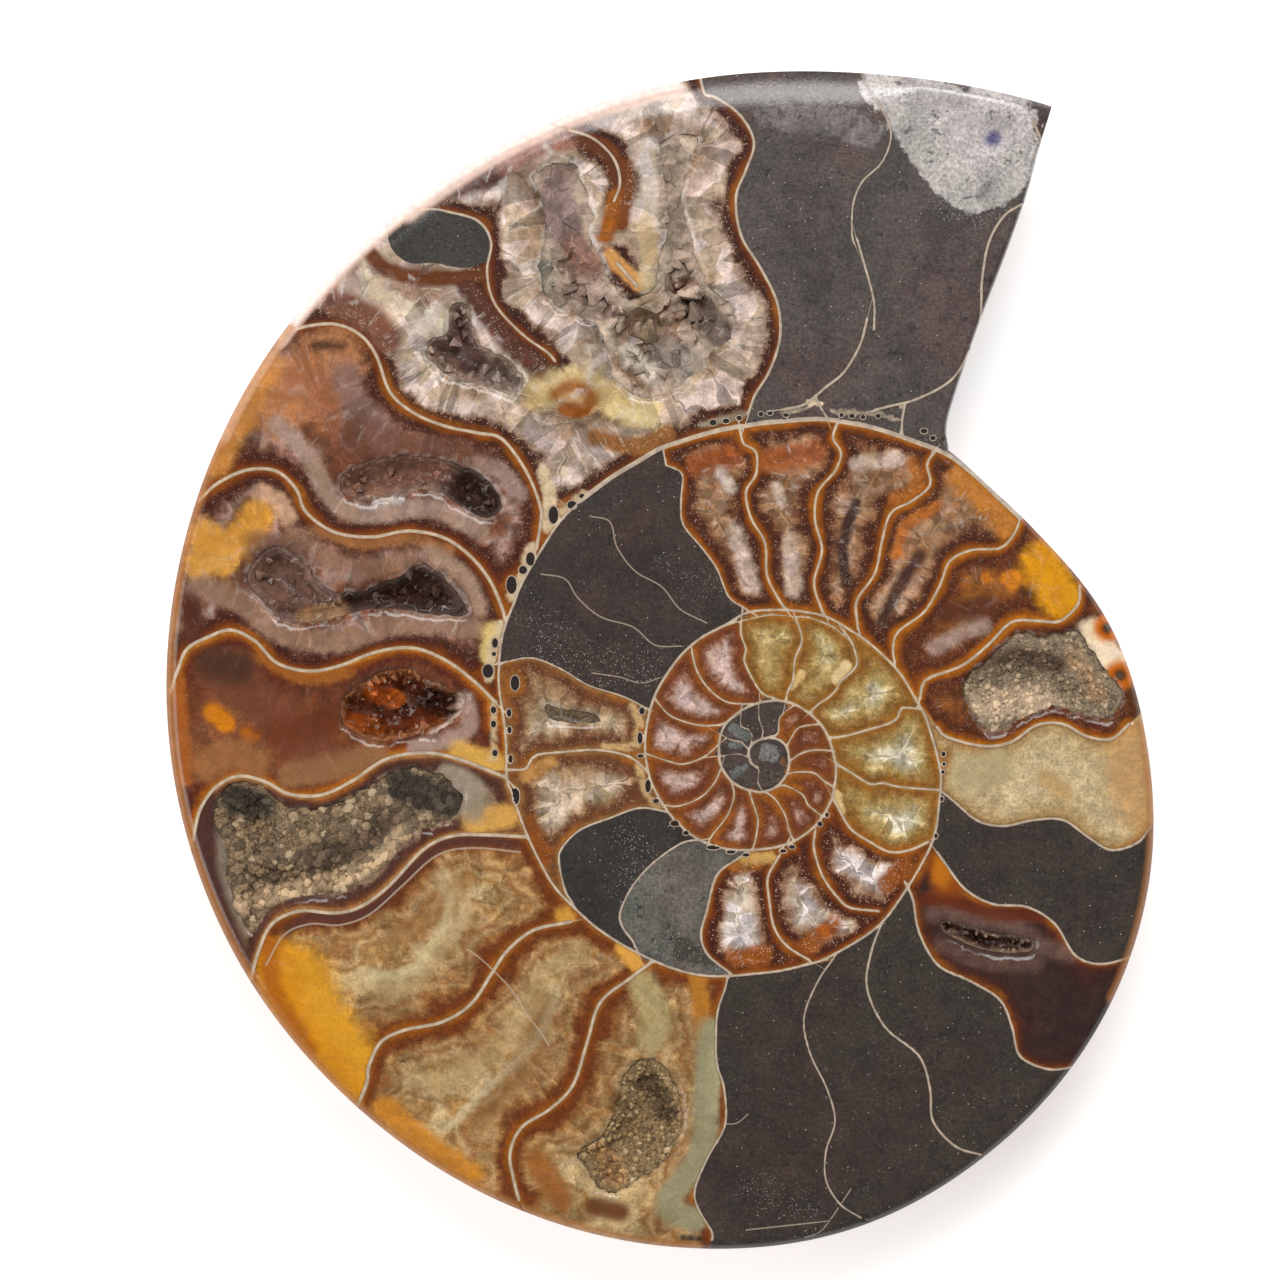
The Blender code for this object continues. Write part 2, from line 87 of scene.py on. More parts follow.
# Shell walls that show as cream lines: half of the line's width, then its course.
WALLS = [
    (0.12, [(102.2, 20.4), (100.4, 21.6), (98.9, 24.2), (98.2, 28), (98, 32), (96.7, 35.6), (95, 38.1),
            (91.7, 39.9), (89, 40.6), (87.5, 41)]),
    (0.11, [(90.5, 40.4), (90.2, 42)]),
    (0.14, [(103.3, 12), (103.7, 13), (104.2, 14)]),
    (0.09, [(86.5, 7.2), (86.4, 8.1), (88.2, 10.9), (89.1, 13.5), (88.2, 16.2), (86.2, 18.2),
            (85.3, 20.5), (85.2, 23.5), (85.4, 24.3)]),
    (0.11, [(85.7, 23.9), (86.6, 27), (87.4, 30.2), (87.4, 32.9)]),
    (0.12, [(86.7, 31.9), (86, 34.5), (84.4, 37.2), (82.6, 38.7), (80.5, 40.4), (78.5, 40.9)]),
    (0.11, [(81.5, 39.6), (82.2, 41)]),
    (0.13, [(70, 7.5), (70.5, 9.4), (71.5, 9.7), (74, 11.5), (75.4, 14.2), (74.6, 17), (73.6, 19.7),
            (74.1, 23.5), (76, 26.7), (77.7, 30.2), (78, 33.7), (77, 37), (75.5, 39.5), (74.9, 41.2)]),
    (0.13, [(57, 13), (59.4, 13.9), (61.4, 15.9), (62, 18.3), (61.4, 20.1)]),
    (0.16, [(61.7, 26.3), (63.7, 28.6)]),
    (0.12, [(40.1, 21.3), (43, 20.9), (44.9, 21.2), (47.8, 22.1), (49.1, 24.2), (48.7, 27.2),
            (49.5, 30.4), (52.2, 33.4), (54.7, 35.2), (55.5, 36.1)]),
    (0.15, [(28.1, 33.5), (30.3, 32.7), (33.4, 32.4), (35.9, 33.4), (37.6, 35.5), (39, 39.2),
            (41.4, 41.3), (44.5, 42.6), (47.8, 43.3), (50.2, 43.9), (52.6, 47.1), (54, 50.5), (54.1, 52),
            (53.7, 54.5)]),
    (0.16, [(19.9, 50), (21.8, 48.3), (24.7, 47), (27.6, 47.1), (29.6, 48.9), (30.6, 51.2), (33.4, 53.2),
            (37.1, 53.7), (40.8, 53.1), (44.2, 53.7), (46.8, 55.4), (48.9, 57.9), (50.2, 60.8),
            (50.5, 61.9)]),
    (0.16, [(17, 69.2), (17.7, 67.2), (18.7, 64.9), (20.8, 63.7), (23.1, 63), (25.5, 64.1), (27.7, 66.3),
            (30.8, 67.1), (33.9, 66.6), (37.6, 65.2), (41.3, 64.8), (44.7, 66.1), (47.6, 68.3),
            (49.4, 70.1)]),
    (0.16, [(19.3, 84), (20, 81), (21.6, 78.7), (23.9, 77.6), (26.6, 78.2), (28.9, 79.4), (32.1, 79.5),
            (35.2, 78.1), (38.4, 76), (41.8, 75.3), (45.2, 75.7), (50, 77.5), (50.7, 77.9)]),
    (0.16, [(25.1, 97.9), (25.8, 95.3), (27.2, 92.4), (30, 91.1), (33.4, 91.3), (36, 90.7), (38.9, 88.6),
            (42.3, 85), (45.2, 83.6), (48.9, 83.5), (52.6, 83.7)]),
    (0.16, [(35.8, 110.5), (36.7, 108.2), (36.9, 106.6), (38.1, 104.2), (40.5, 103), (44.2, 102.2),
            (47.1, 100.4), (49.2, 97.3), (50.8, 95), (53.4, 93), (57, 92.2)]),
    (0.15, [(51.9, 120), (51.4, 118.1), (51, 115.3), (52.2, 112.7), (55, 110.9), (57.3, 108.5),
            (58.7, 104.3), (60, 100.3), (62.9, 97.9), (65.2, 96.2)]),
    (0.10, [(71.2, 124), (71.2, 123.2), (69.8, 120.8), (69.5, 118.9), (70.8, 115.7), (72.5, 112.5),
            (72.4, 108.8), (71.7, 106.4), (71.6, 103.5), (71.8, 101), (72.5, 98.9), (72.8, 97.6)]),
    (0.09, [(86.1, 121.8), (84, 120.4), (82.6, 118), (82.6, 115.1), (83.5, 112.1), (82.7, 108.9),
            (81, 105.3), (80.4, 101.8), (81.7, 98.3), (83.3, 95.9)]),
    (0.11, [(98.1, 115.5), (95.5, 114.6), (93.3, 112.1), (93, 108.9), (91.9, 105.6), (88.5, 102.7),
            (86.7, 98.8), (87.1, 95.3), (88, 92.7)]),
    (0.12, [(107.3, 106.8), (104.7, 106.9), (102, 105.6), (101.2, 102.7), (100, 100), (97, 98.1),
            (93.8, 96.5), (91.9, 93.2), (91.3, 90), (90.5, 88.2)]),
    (0.12, [(113.3, 95.7), (110, 96.4), (107.5, 95.5), (105.5, 92.4), (102.7, 90.7), (99.3, 90.4),
            (96.5, 88.9), (94.5, 86.3), (93.7, 85.2)]),
    (0.12, [(94, 79), (95.7, 80.4), (97.8, 82.1), (100.4, 82.6), (103.4, 82), (106.3, 82), (108.8, 83.7),
            (111.1, 85), (113.7, 84.3), (115.1, 82.7)]),
    (0.14, [(112.9, 72.4), (111.1, 73.9), (108.6, 73.6), (106.3, 72.4), (103.7, 72.5), (101.1, 74.2),
            (98.3, 74.6), (94.7, 73.7), (93.7, 72.7)]),
    (0.14, [(108, 58.6), (107.8, 60.4), (106, 62.1), (103.9, 62.1), (101.2, 62.2), (98.9, 64.4),
            (96.3, 66.5), (93.1, 67.7), (92.3, 68.4), (92, 69.8)]),
    (0.12, [(74, 43.1), (74.4, 44.4), (75.6, 45.2), (75.6, 47.4), (74.6, 49.2), (75.1, 51.8),
            (76.5, 54.3), (76.7, 57.5), (77.8, 59.8), (78.5, 60.8)]),
    (0.12, [(83.7, 42.4), (83.3, 43.8), (84.1, 45.3), (83.5, 47.1), (81.8, 49.2), (81.5, 52), (82.2, 55),
            (81.4, 58.2), (82, 60.5), (82.5, 61.6)]),
    (0.12, [(93.2, 45.5), (92.7, 46.5), (93, 48.5), (91.2, 50.1), (89.1, 51.3), (88.2, 54.1),
            (87.5, 57.3), (85.7, 60), (85.7, 62), (85.8, 62.9)]),
    (0.12, [(102.1, 51.7), (101.4, 53.4), (100, 54.8), (97.2, 55), (95, 56.1), (94, 58.5), (92.4, 61.2),
            (89.8, 63.2), (89.3, 65), (89.5, 66.3)]),
    (0.09, [(66.5, 45.9), (66.6, 46.5), (68.2, 47.4), (68.1, 50), (68.3, 52.4), (70.2, 54.8),
            (71.7, 56.9), (72.9, 59.7), (74.6, 60.9)]),
    (0.08, [(50.5, 66.2), (53.2, 65.8), (56.1, 66.9), (58.8, 68.5), (61.9, 69.5), (63.3, 70.1),
            (64.8, 70.9)]),
    (0.12, [(50.8, 77), (52.5, 76.9), (53, 76.2), (53.7, 75.5), (56.2, 75.2), (59.8, 75), (63, 75.7),
            (64.8, 77.2)]),
    (0.10, [(66.8, 81.2), (64, 80.8), (61, 81.8), (58, 83), (56.2, 84.8), (55.9, 86.2), (56.5, 89),
            (57.2, 90.2)]),
    (0.10, [(70, 84), (68.2, 84.3), (65.3, 86.3), (63.2, 88.7), (62, 91.3), (62.3, 92.8), (63.2, 94),
            (63.8, 95.2)]),
    (0.12, [(74, 85.7), (71.7, 87.5), (70.7, 91), (70.1, 93.5), (70.8, 95.5), (73, 97.3)]),
    (0.12, [(77.9, 85.6), (76.8, 87.7), (76.9, 89.8), (77.4, 92.7), (78.7, 94.6), (80.9, 96)]),
    (0.12, [(81.5, 83.2), (81.4, 84.9), (82.3, 87.7), (83.9, 89.9), (85.1, 90.8), (87.8, 91.1)]),
    (0.12, [(83.4, 80), (85, 82.8), (87, 84.2), (89, 85.2), (91, 85), (92.8, 84.2)]),
    (0.11, [(83.7, 76.4), (85, 77.2), (87, 78.4), (88.3, 78.3), (90, 78.7), (93.9, 79)]),
    (0.11, [(82.9, 73.8), (84.5, 73.6), (86.7, 73), (89, 72.3), (89.8, 71.7), (90.2, 70.8), (92, 70.9)]),
    (0.22, [(102.1, 51.8), (100, 49.9), (98.2, 48.1), (95, 45.6), (91.9, 44.3), (87.8, 42.9), (85, 42.3),
            (81.8, 41.9), (77.4, 42.2), (75, 42.5), (71.6, 43.1), (68.2, 44.1), (65.9, 44.9),
            (63.7, 46.2), (61.5, 47.5), (59.7, 48.8), (57.6, 50.4)]),
    (0.12, [(57.6, 50.4), (55.8, 52.4), (54.3, 54.7), (53.2, 56.5), (52.1, 58.5), (51.4, 60.3),
            (50.6, 62.3), (50.1, 64.3), (49.9, 66.6), (49.9, 68.8), (50.4, 72.2), (50.6, 74.4),
            (50.7, 77.9), (51.3, 79.5), (51.8, 81.1), (52.8, 83.7), (54.2, 86.6), (55.7, 89),
            (58.4, 91.7), (60.4, 93.3), (63.2, 95), (66.9, 96.7), (70, 97.5), (72.8, 97.6), (75.2, 97.4),
            (77.9, 97.1), (80.5, 96.5), (82.9, 95.7), (87.6, 92.8), (90.4, 89.3), (92.8, 85.2),
            (93.6, 82.9), (93.9, 80.4), (94.1, 77.8), (93.7, 75.5), (93.2, 73.7), (92.5, 71.6),
            (91.6, 70), (90.4, 67.9), (89.1, 66.3), (86.8, 64.2), (85, 63), (82.7, 61.7), (79.9, 61.1),
            (76.9, 61), (74.6, 61.3), (72.7, 62.4), (70.4, 63.6), (68.6, 65), (67.1, 66.8), (65.5, 69.5),
            (64.7, 72.4), (64.5, 74.7), (64.7, 76.6), (65.2, 78.4), (66.1, 80.1), (67.3, 81.8),
            (68.9, 83.3), (70.4, 84.2), (72.7, 84.9), (75.1, 85), (77.7, 84.7), (79.6, 84), (81.4, 82.7),
            (82.6, 81.1), (83.3, 79.4), (83.6, 77.3), (83.4, 75.6), (82.9, 73.9), (82.2, 72.6),
            (81, 71.4), (79.6, 70.5), (78.2, 70.1), (76.9, 70.1), (75.5, 70.4), (74.4, 70.9),
            (73.4, 71.6), (72.5, 72.5), (72, 73.7), (71.9, 75.1), (72, 76.3), (72.7, 77.6), (73.7, 78.5),
            (74.9, 79), (76.2, 79.2), (77.4, 78.8), (78.2, 78.1), (78.8, 77.1), (78.9, 75.9),
            (78.7, 74.8), (78.1, 74.1), (77.2, 73.8), (76.3, 73.9), (75.5, 74.2), (74.9, 74.9),
            (74.9, 75.6), (75.1, 76.3), (75.8, 76.8)]),
    (0.06, [(84.3, 63.5), (83.3, 62.7), (82.2, 62.2), (81, 61.8), (79.9, 61.7), (77.4, 61.5),
            (76.3, 61.6), (74.5, 62), (72.7, 62.5)]),
    (0.09, [(69.2, 65.2), (69.7, 67.1), (70.9, 68.9), (72.7, 70.2), (75, 70.4)]),
    (0.09, [(74.1, 62.2), (74.1, 63.4), (74.6, 65), (74.4, 66), (75.2, 67.8), (76.2, 69.3),
            (77.4, 69.8)]),
    (0.10, [(79.6, 61.8), (80.2, 64), (79.5, 65.9), (79.3, 68), (78.8, 69.1), (78.6, 70)]),
    (0.10, [(84.3, 63), (85.2, 64.3), (85.7, 66), (85.5, 66.8), (84.8, 67.5), (84, 68.2), (83.6, 69),
            (82.8, 69.8), (82, 70.3), (81, 71.2)]),
    (0.08, [(65.4, 69.8), (67.1, 71.6), (69.8, 72.5), (71.8, 72.5), (72.6, 72.2)]),
    (0.08, [(64.7, 75.4), (67.1, 76.2), (68.4, 76.4), (70.4, 75.7), (71.8, 74.5)]),
    (0.08, [(66.4, 80.5), (67.9, 80.6), (70.1, 79.7), (71.5, 78.2), (72, 77)]),
    (0.08, [(73.2, 78.4), (73.4, 79.6), (72.7, 81.6), (71.3, 83.4), (70.9, 84.1)]),
    (0.08, [(74.9, 79.2), (75.5, 80.9), (75.8, 82.2), (75.5, 84.2), (75.3, 84.8)]),
    (0.08, [(76.5, 79.2), (77.5, 79.9), (78.5, 81.5), (78.9, 83), (79.4, 84)]),
    (0.08, [(77.7, 78.7), (78.6, 78.6), (80.3, 79.5), (80.8, 80.5), (82.2, 81.6)]),
    (0.08, [(78.7, 77.4), (79.8, 77.2), (81.4, 77.3), (82.4, 78.1), (83.4, 78.7)]),
    (0.08, [(78.9, 76.2), (80, 75.4), (81.4, 75), (83.4, 75.1)]),
    (0.08, [(78.7, 74.6), (79.6, 73), (80.4, 72.6), (82.1, 72.4)]),
    (0.06, [(79.3, 70.6), (78, 71.7), (77.8, 73.3), (77.1, 73.6)]),
    (0.05, [(75.9, 70.4), (75.9, 71.8), (76.3, 73.1), (76.2, 73.7)]),
    (0.05, [(74.1, 71.2), (74.1, 72.6), (74.8, 72.9), (75.2, 73.5), (75.1, 74.2)]),
    (0.05, [(72, 73.4), (73.1, 74), (74.1, 74.2), (74.8, 74.9)]),
    (0.05, [(72, 75.6), (73.9, 75.4), (74.7, 75.7)]),
    (0.05, [(75.9, 77), (75.8, 78.3), (76.1, 78.9)]),
]

# Edges of fillings with no wall of their own, such as the lower side of the lens of mud.
SEAMS = [
    [(39.6, 21.2), (39, 22.6), (38.8, 23.8), (39.4, 25.2), (41, 26.3), (43.5, 26.3), (46.5, 26.8),
     (48.9, 26.1)],
]

# Cracks and faint lines on the polish: half width, course.
HAIRS = [
    (0.06, [(46.7, 94.9), (48.1, 95.9), (49.7, 97.4), (51.3, 99.2), (52.8, 101.6), (54.2, 103.4),
            (54.9, 104.6)]),
    (0.05, [(59, 51.6), (61, 52.2), (61.7, 54.7), (63.5, 57.1), (66.2, 58.7), (68, 60.9), (70.7, 62.3)]),
    (0.05, [(54.1, 57.4), (56.5, 57.9), (57.8, 59.8), (60.1, 61.7), (63.3, 62.7), (65.5, 64.5),
            (68.4, 64.6)]),
    (0.04, [(59.2, 67.3), (61.9, 67.7), (64.1, 68.3), (66.2, 67.7)]),
    (0.04, [(72.4, 112.4), (73.7, 112.3), (74.8, 111.4)]),
    (0.05, [(74.6, 123), (82.9, 122.1)]),
    (0.05, [(80.5, 123.8), (82.3, 122.9), (85.1, 118.9)]),
    (0.08, [(26.6, 96.5), (28.4, 93.5), (31, 92.4), (34, 92.5), (37, 91.4), (40.2, 88.6), (43.6, 85.6),
            (47, 84.8), (52, 85.2)]),
]

# Small round chambers beside the spiral wall: middle, half width and half height.
BUBBLES = [
    (55.35, 51.5, 0.5, 0.9), (57.2, 50.5, 0.48, 0.43), (58.2, 49.6, 0.31, 0.24), (53.05, 55.9, 0.45, 0.7),
    (52.3, 57, 0.42, 0.42), (51.15, 58.5, 0.53, 0.91), (49.5, 64.3, 0.31, 0.49), (49.4, 65.4, 0.22, 0.22),
    (48.8, 67.1, 0.56, 0.7), (49.35, 71, 0.28, 0.36), (49.35, 72.4, 0.28, 0.36), (49.5, 75.3, 0.28, 0.34),
    (50.9, 71.3, 0.25, 0.42), (50.95, 73, 0.22, 0.36), (51.05, 75.9, 0.22, 0.42), (51.5, 68.3, 0.45, 0.77),
    (51.6, 79.6, 0.36, 0.84), (71.3, 42.25, 0.36, 0.31), (72.6, 42.1, 0.36, 0.24), (73.9, 41.8, 0.31, 0.24),
    (76.1, 41.4, 0.26, 0.24), (77, 41.3, 0.29, 0.22), (78.6, 41.5, 0.31, 0.19), (84.1, 41.5, 0.26, 0.22),
    (85.2, 41.6, 0.29, 0.24), (86.3, 41.7, 0.24, 0.22), (87.8, 41.6, 0.26, 0.22), (92.4, 43.1, 0.36, 0.26),
    (93.3, 43.8, 0.29, 0.24), (64.2, 71.1, 0.29, 0.36), (64, 73.8, 0.26, 0.6), (64.05, 75.6, 0.31, 0.19),
    (64.8, 78.6, 0.29, 0.66), (65.6, 80.1, 0.31, 0.22), (67.5, 82.35, 0.48, 0.29), (68.6, 83.3, 0.31, 0.22),
    (71.3, 84.75, 0.66, 0.22), (73.1, 85.2, 0.48, 0.17), (74.6, 85.5, 0.36, 0.17), (78.3, 85.1, 0.36, 0.18),
    (79.2, 84.7, 0.31, 0.19), (82, 82.4, 0.24, 0.26), (82.7, 81.5, 0.19, 0.24), (94.35, 75.4, 0.22, 0.26),
    (94.4, 76.4, 0.17, 0.19), (94.3, 77.2, 0.17, 0.19), (94.2, 79.9, 0.17, 0.24), (93.6, 83.6, 0.19, 0.24),
]

# Two burrows beside the rim: the middle of an orange disc with a dark core, and its radius.
BURROWS = [(110.7, 62.8, 1.2), (112.0, 67.5, 1.3)]


def smooth_line(points, step=LINE_STEP, closed=False):
    """Places about `step` apart on a smooth curve through the given ones."""
    knots = np.array(points, float)
    if closed:
        knots = np.vstack([knots[-1:], knots, knots[:2]])
    else:
        knots = np.vstack([2 * knots[:1] - knots[1:2], knots, 2 * knots[-1:] - knots[-2:-1]])
    runs = []
    for before, here, there, after in zip(knots, knots[1:], knots[2:], knots[3:]):
        pieces = max(1, round(float(np.linalg.norm(there - here)) / step))
        t = np.arange(pieces)[:, None] / pieces
        runs.append(0.5 * (2 * here + (there - before) * t
                           + (2 * before - 5 * here + 4 * there - after) * t ** 2
                           + (3 * here - before - 3 * there + after) * t ** 3))
    return np.vstack(runs) if closed else np.vstack(runs + [knots[-2:-1]])


def search_tree(places):
    """A tree that finds the nearest of many flat places."""
    tree = kdtree.KDTree(len(places))
    for i, (x, y) in enumerate(places):
        tree.insert((x, y, 0.0), i)
    tree.balance()
    return tree


def nearest(tree, places):
    """For each place, the distance to the tree's nearest place and that one's number."""
    found = [tree.find((x, y, 0.0)) for x, y in places]
    return np.array([f[2] for f in found]), np.array([f[1] for f in found])


def inside_loop(places, loop):
    """Which places lie inside a closed line."""
    inside = np.zeros(len(places), bool)
    x, y = places[:, 0], places[:, 1]
    near = ((places > loop.min(0)) & (places < loop.max(0))).all(1)
    x, y = x[near], y[near]
    hit = np.zeros(len(x), bool)
    for (ax, ay), (bx, by) in zip(loop, np.roll(loop, -1, 0)):
        if ay != by:
            hit ^= ((ay > y) != (by > y)) & (x < ax + (y - ay) / (by - ay) * (bx - ax))
    inside[near] = hit
    return inside


def rim_outline():
    """The shell's outline seen from above, from the tip of the mouth round to its inner corner."""
    angles = np.radians([a for a, _ in RIM])
    reach = np.array([r for _, r in RIM])
    slope = np.gradient(reach, angles)
    fine = np.linspace(angles[0], angles[-1], 700)
    at = np.clip(np.searchsorted(angles, fine) - 1, 0, len(angles) - 2)
    wide = angles[at + 1] - angles[at]
    t = (fine - angles[at]) / wide
    radius = ((2 * t ** 3 - 3 * t ** 2 + 1) * reach[at] + (t ** 3 - 2 * t ** 2 + t) * slope[at] * wide
              + (3 * t ** 2 - 2 * t ** 3) * reach[at + 1] + (t ** 3 - t ** 2) * slope[at + 1] * wide)
    curve = COIL + radius[:, None] * np.column_stack((np.cos(fine), -np.sin(fine)))
    mouth = smooth_line(MOUTH, 0.5)[1:-1]
    return np.vstack([curve, mouth])


def offsets(line, distance, closed=False):
    """The line moved sideways, on both sides for an open one."""
    along = np.roll(line, -1, 0) - np.roll(line, 1, 0)
    if not closed:
        along[0] = line[1] - line[0]
        along[-1] = line[-1] - line[-2]
    along /= np.maximum(np.linalg.norm(along, axis=1), 1e-9)[:, None]
    side = np.column_stack((-along[:, 1], along[:, 0])) * distance
    return line + side, line - side


# The hollows' outlines: name, depth, how ragged the edge is, course.
HOLLOWS = {
    "crust_great_hollow": (5.2, 0.22, [
        (53.4, 17.8), (55, 16.6), (57.4, 16.6), (58.4, 19), (59.3, 21.6), (59, 23.8),
        (60.2, 25.8), (61, 28.2), (63, 29.8), (65.2, 28.8), (65.9, 26.2), (66.6, 23.4),
        (66.7, 20), (66.4, 17), (66.2, 14.4), (67.8, 13.3), (69.6, 13.6), (69.2, 15.8),
        (68.4, 18), (68.3, 20.8), (69.2, 23.6), (69.6, 25.8), (70.6, 28), (72.2, 29.6),
        (73.6, 31.4), (73, 33.8), (71.2, 34.9), (70.2, 36.8), (68.2, 38.4), (66, 39.7),
        (63.6, 39.6), (61.4, 37.9), (60.8, 35.4), (60, 32.8), (57.6, 31.5), (54.8, 29.8),
        (53.9, 27.4), (54.3, 24.4), (54.4, 20.6)]),
    "crust_third_chamber": (5, 0.22, [
        (45, 30.8), (46.6, 30.6), (47.4, 32.8), (48.4, 34.8), (50.6, 35.8), (52.2, 37.8),
        (51.4, 39.4), (48.6, 38.6), (46, 38), (43.4, 36.6), (42.6, 34.4), (44.6, 33.4)]),
    "crust_fourth_chamber": (5, 0.16, [
        (34.4, 49.4), (34.2, 47.4), (37, 46), (41, 45.6), (45.2, 46.2), (48.6, 47.8),
        (50.2, 50.4), (48.8, 51.8), (46.4, 50.8), (43.8, 49.2), (41, 49), (37.4, 50)]),
    "crust_fifth_chamber": (5, 0.16, [
        (24.6, 57.4), (27.4, 54.6), (30.4, 56.4), (32.6, 58.8), (36, 59.2), (39.4, 57.8),
        (42.4, 56.4), (45.2, 58.6), (46.6, 61.4), (43.4, 61.4), (39, 60.8), (35.2, 61.2),
        (31.8, 62.2), (28.4, 62), (26, 60)]),
    "crust_sixth_chamber": (5, 0.2, [
        (34.4, 72.4), (34.2, 69.8), (37, 67.8), (40, 66.8), (43.6, 68.2), (46.4, 69.4),
        (46, 71.4), (44, 73), (40.4, 73.8), (37, 74)]),
    "crust_seventh_chamber": (3.8, 0.22, [
        (21.4, 81.8), (22.6, 78.8), (25.6, 78.4), (29, 80.6), (32.8, 80.6), (36.6, 78.8),
        (40.4, 76.8), (44.2, 77.6), (46.4, 79.8), (44.8, 82), (41, 83.6), (38.6, 86.4),
        (34.4, 89.2), (29.8, 89.6), (27.2, 91), (25.4, 93.2), (23.9, 91.6), (22.8, 88.4),
        (22.6, 85)]),
    "crust_tenth_chamber": (4, 0.22, [
        (63.6, 106), (65.8, 106), (67.8, 108.8), (68.2, 113), (66.4, 116.2), (63.8, 118),
        (61.2, 119.4), (58.8, 117.4), (57.9, 115), (60.4, 113.4), (61.6, 110.6), (62.4, 107.6)]),
    "crust_fifteenth_chamber": (3, 0.08, [
        (94.2, 92), (96.4, 92.4), (99, 93.3), (101.6, 93.6), (103.4, 94), (103.3, 95),
        (101.4, 95.3), (98.4, 95), (95.6, 93.9), (94.2, 93)]),
    "crust_eighteenth_chamber": (3, 0.2, [
        (96.4, 68.6), (98.4, 66.2), (101.4, 63.5), (104.6, 63.6), (107.6, 63), (109.2, 65.2),
        (111.2, 67.8), (112.4, 69.6), (111, 71.8), (108.4, 71.4), (105.2, 70.6), (102.4, 71.8),
        (99.4, 73.2), (97.4, 71.6)]),
    "crust_inner_whorl": (1.6, 0.08, [
        (54.6, 70.4), (56.4, 70.9), (58.8, 71.2), (60, 72.1), (57.2, 72.3), (55, 71.8)]),
}


def oval(x, y, half_wide, half_high, count):
    """Places on an oval."""
    turn = np.linspace(0, 2 * math.pi, count + 1)[:-1]
    return np.column_stack((x + half_wide * np.cos(turn), y + half_high * np.sin(turn)))


def hollow_outline(name):
    """A hollow's edge: the traced curve, made ragged by the crystals that break through it."""
    _, ragged, points = HOLLOWS[name]
    rng = np.random.default_rng(sum(map(ord, name)))
    loop = smooth_line(points, 0.42, closed=True)
    outward, _ = offsets(loop, 1.0, closed=True)
    steps = np.repeat(rng.uniform(-1, 1, len(loop) // 2 + 1), 2)[:len(loop)]
    shift = ragged * (0.7 * steps + 0.5 * rng.uniform(-1, 1, len(loop)))
    return loop + (outward - loop) * shift[:, None]


rim = rim_outline()
rim_tree = search_tree(smooth_line(rim, 0.12, closed=True))
ink = []
ink_width = []
lines = []
for half, points in WALLS:
    fine = smooth_line(points, 0.1)
    ink.append(fine)
    ink_width.append(np.full(len(fine), half))
    lines.append(smooth_line(points))
for seam in SEAMS:
    lines.append(smooth_line(seam))
rings = []
for x, y, half_wide, half_high in BUBBLES:
    rings.append(oval(x, y, half_wide, half_high, 12))
    ink.append(smooth_line(rings[-1], 0.06, closed=True))
    ink_width.append(np.full(len(ink[-1]), 0.07))
ink = np.vstack(ink)
ink_width = np.concatenate(ink_width)
ink_tree = search_tree(ink)
hair_rows = [(half, smooth_line(points, 0.3)) for half, points in HAIRS]
hollows = {name: hollow_outline(name) for name in HOLLOWS}


def clear_of(places, *limits):
    """The places inside the rim that lie further from each tree than its limit."""
    places = places[inside_loop(places, rim)]
    for tree, limit in limits:
        away, _ = nearest(tree, places)
        places = places[away > limit]
    return places


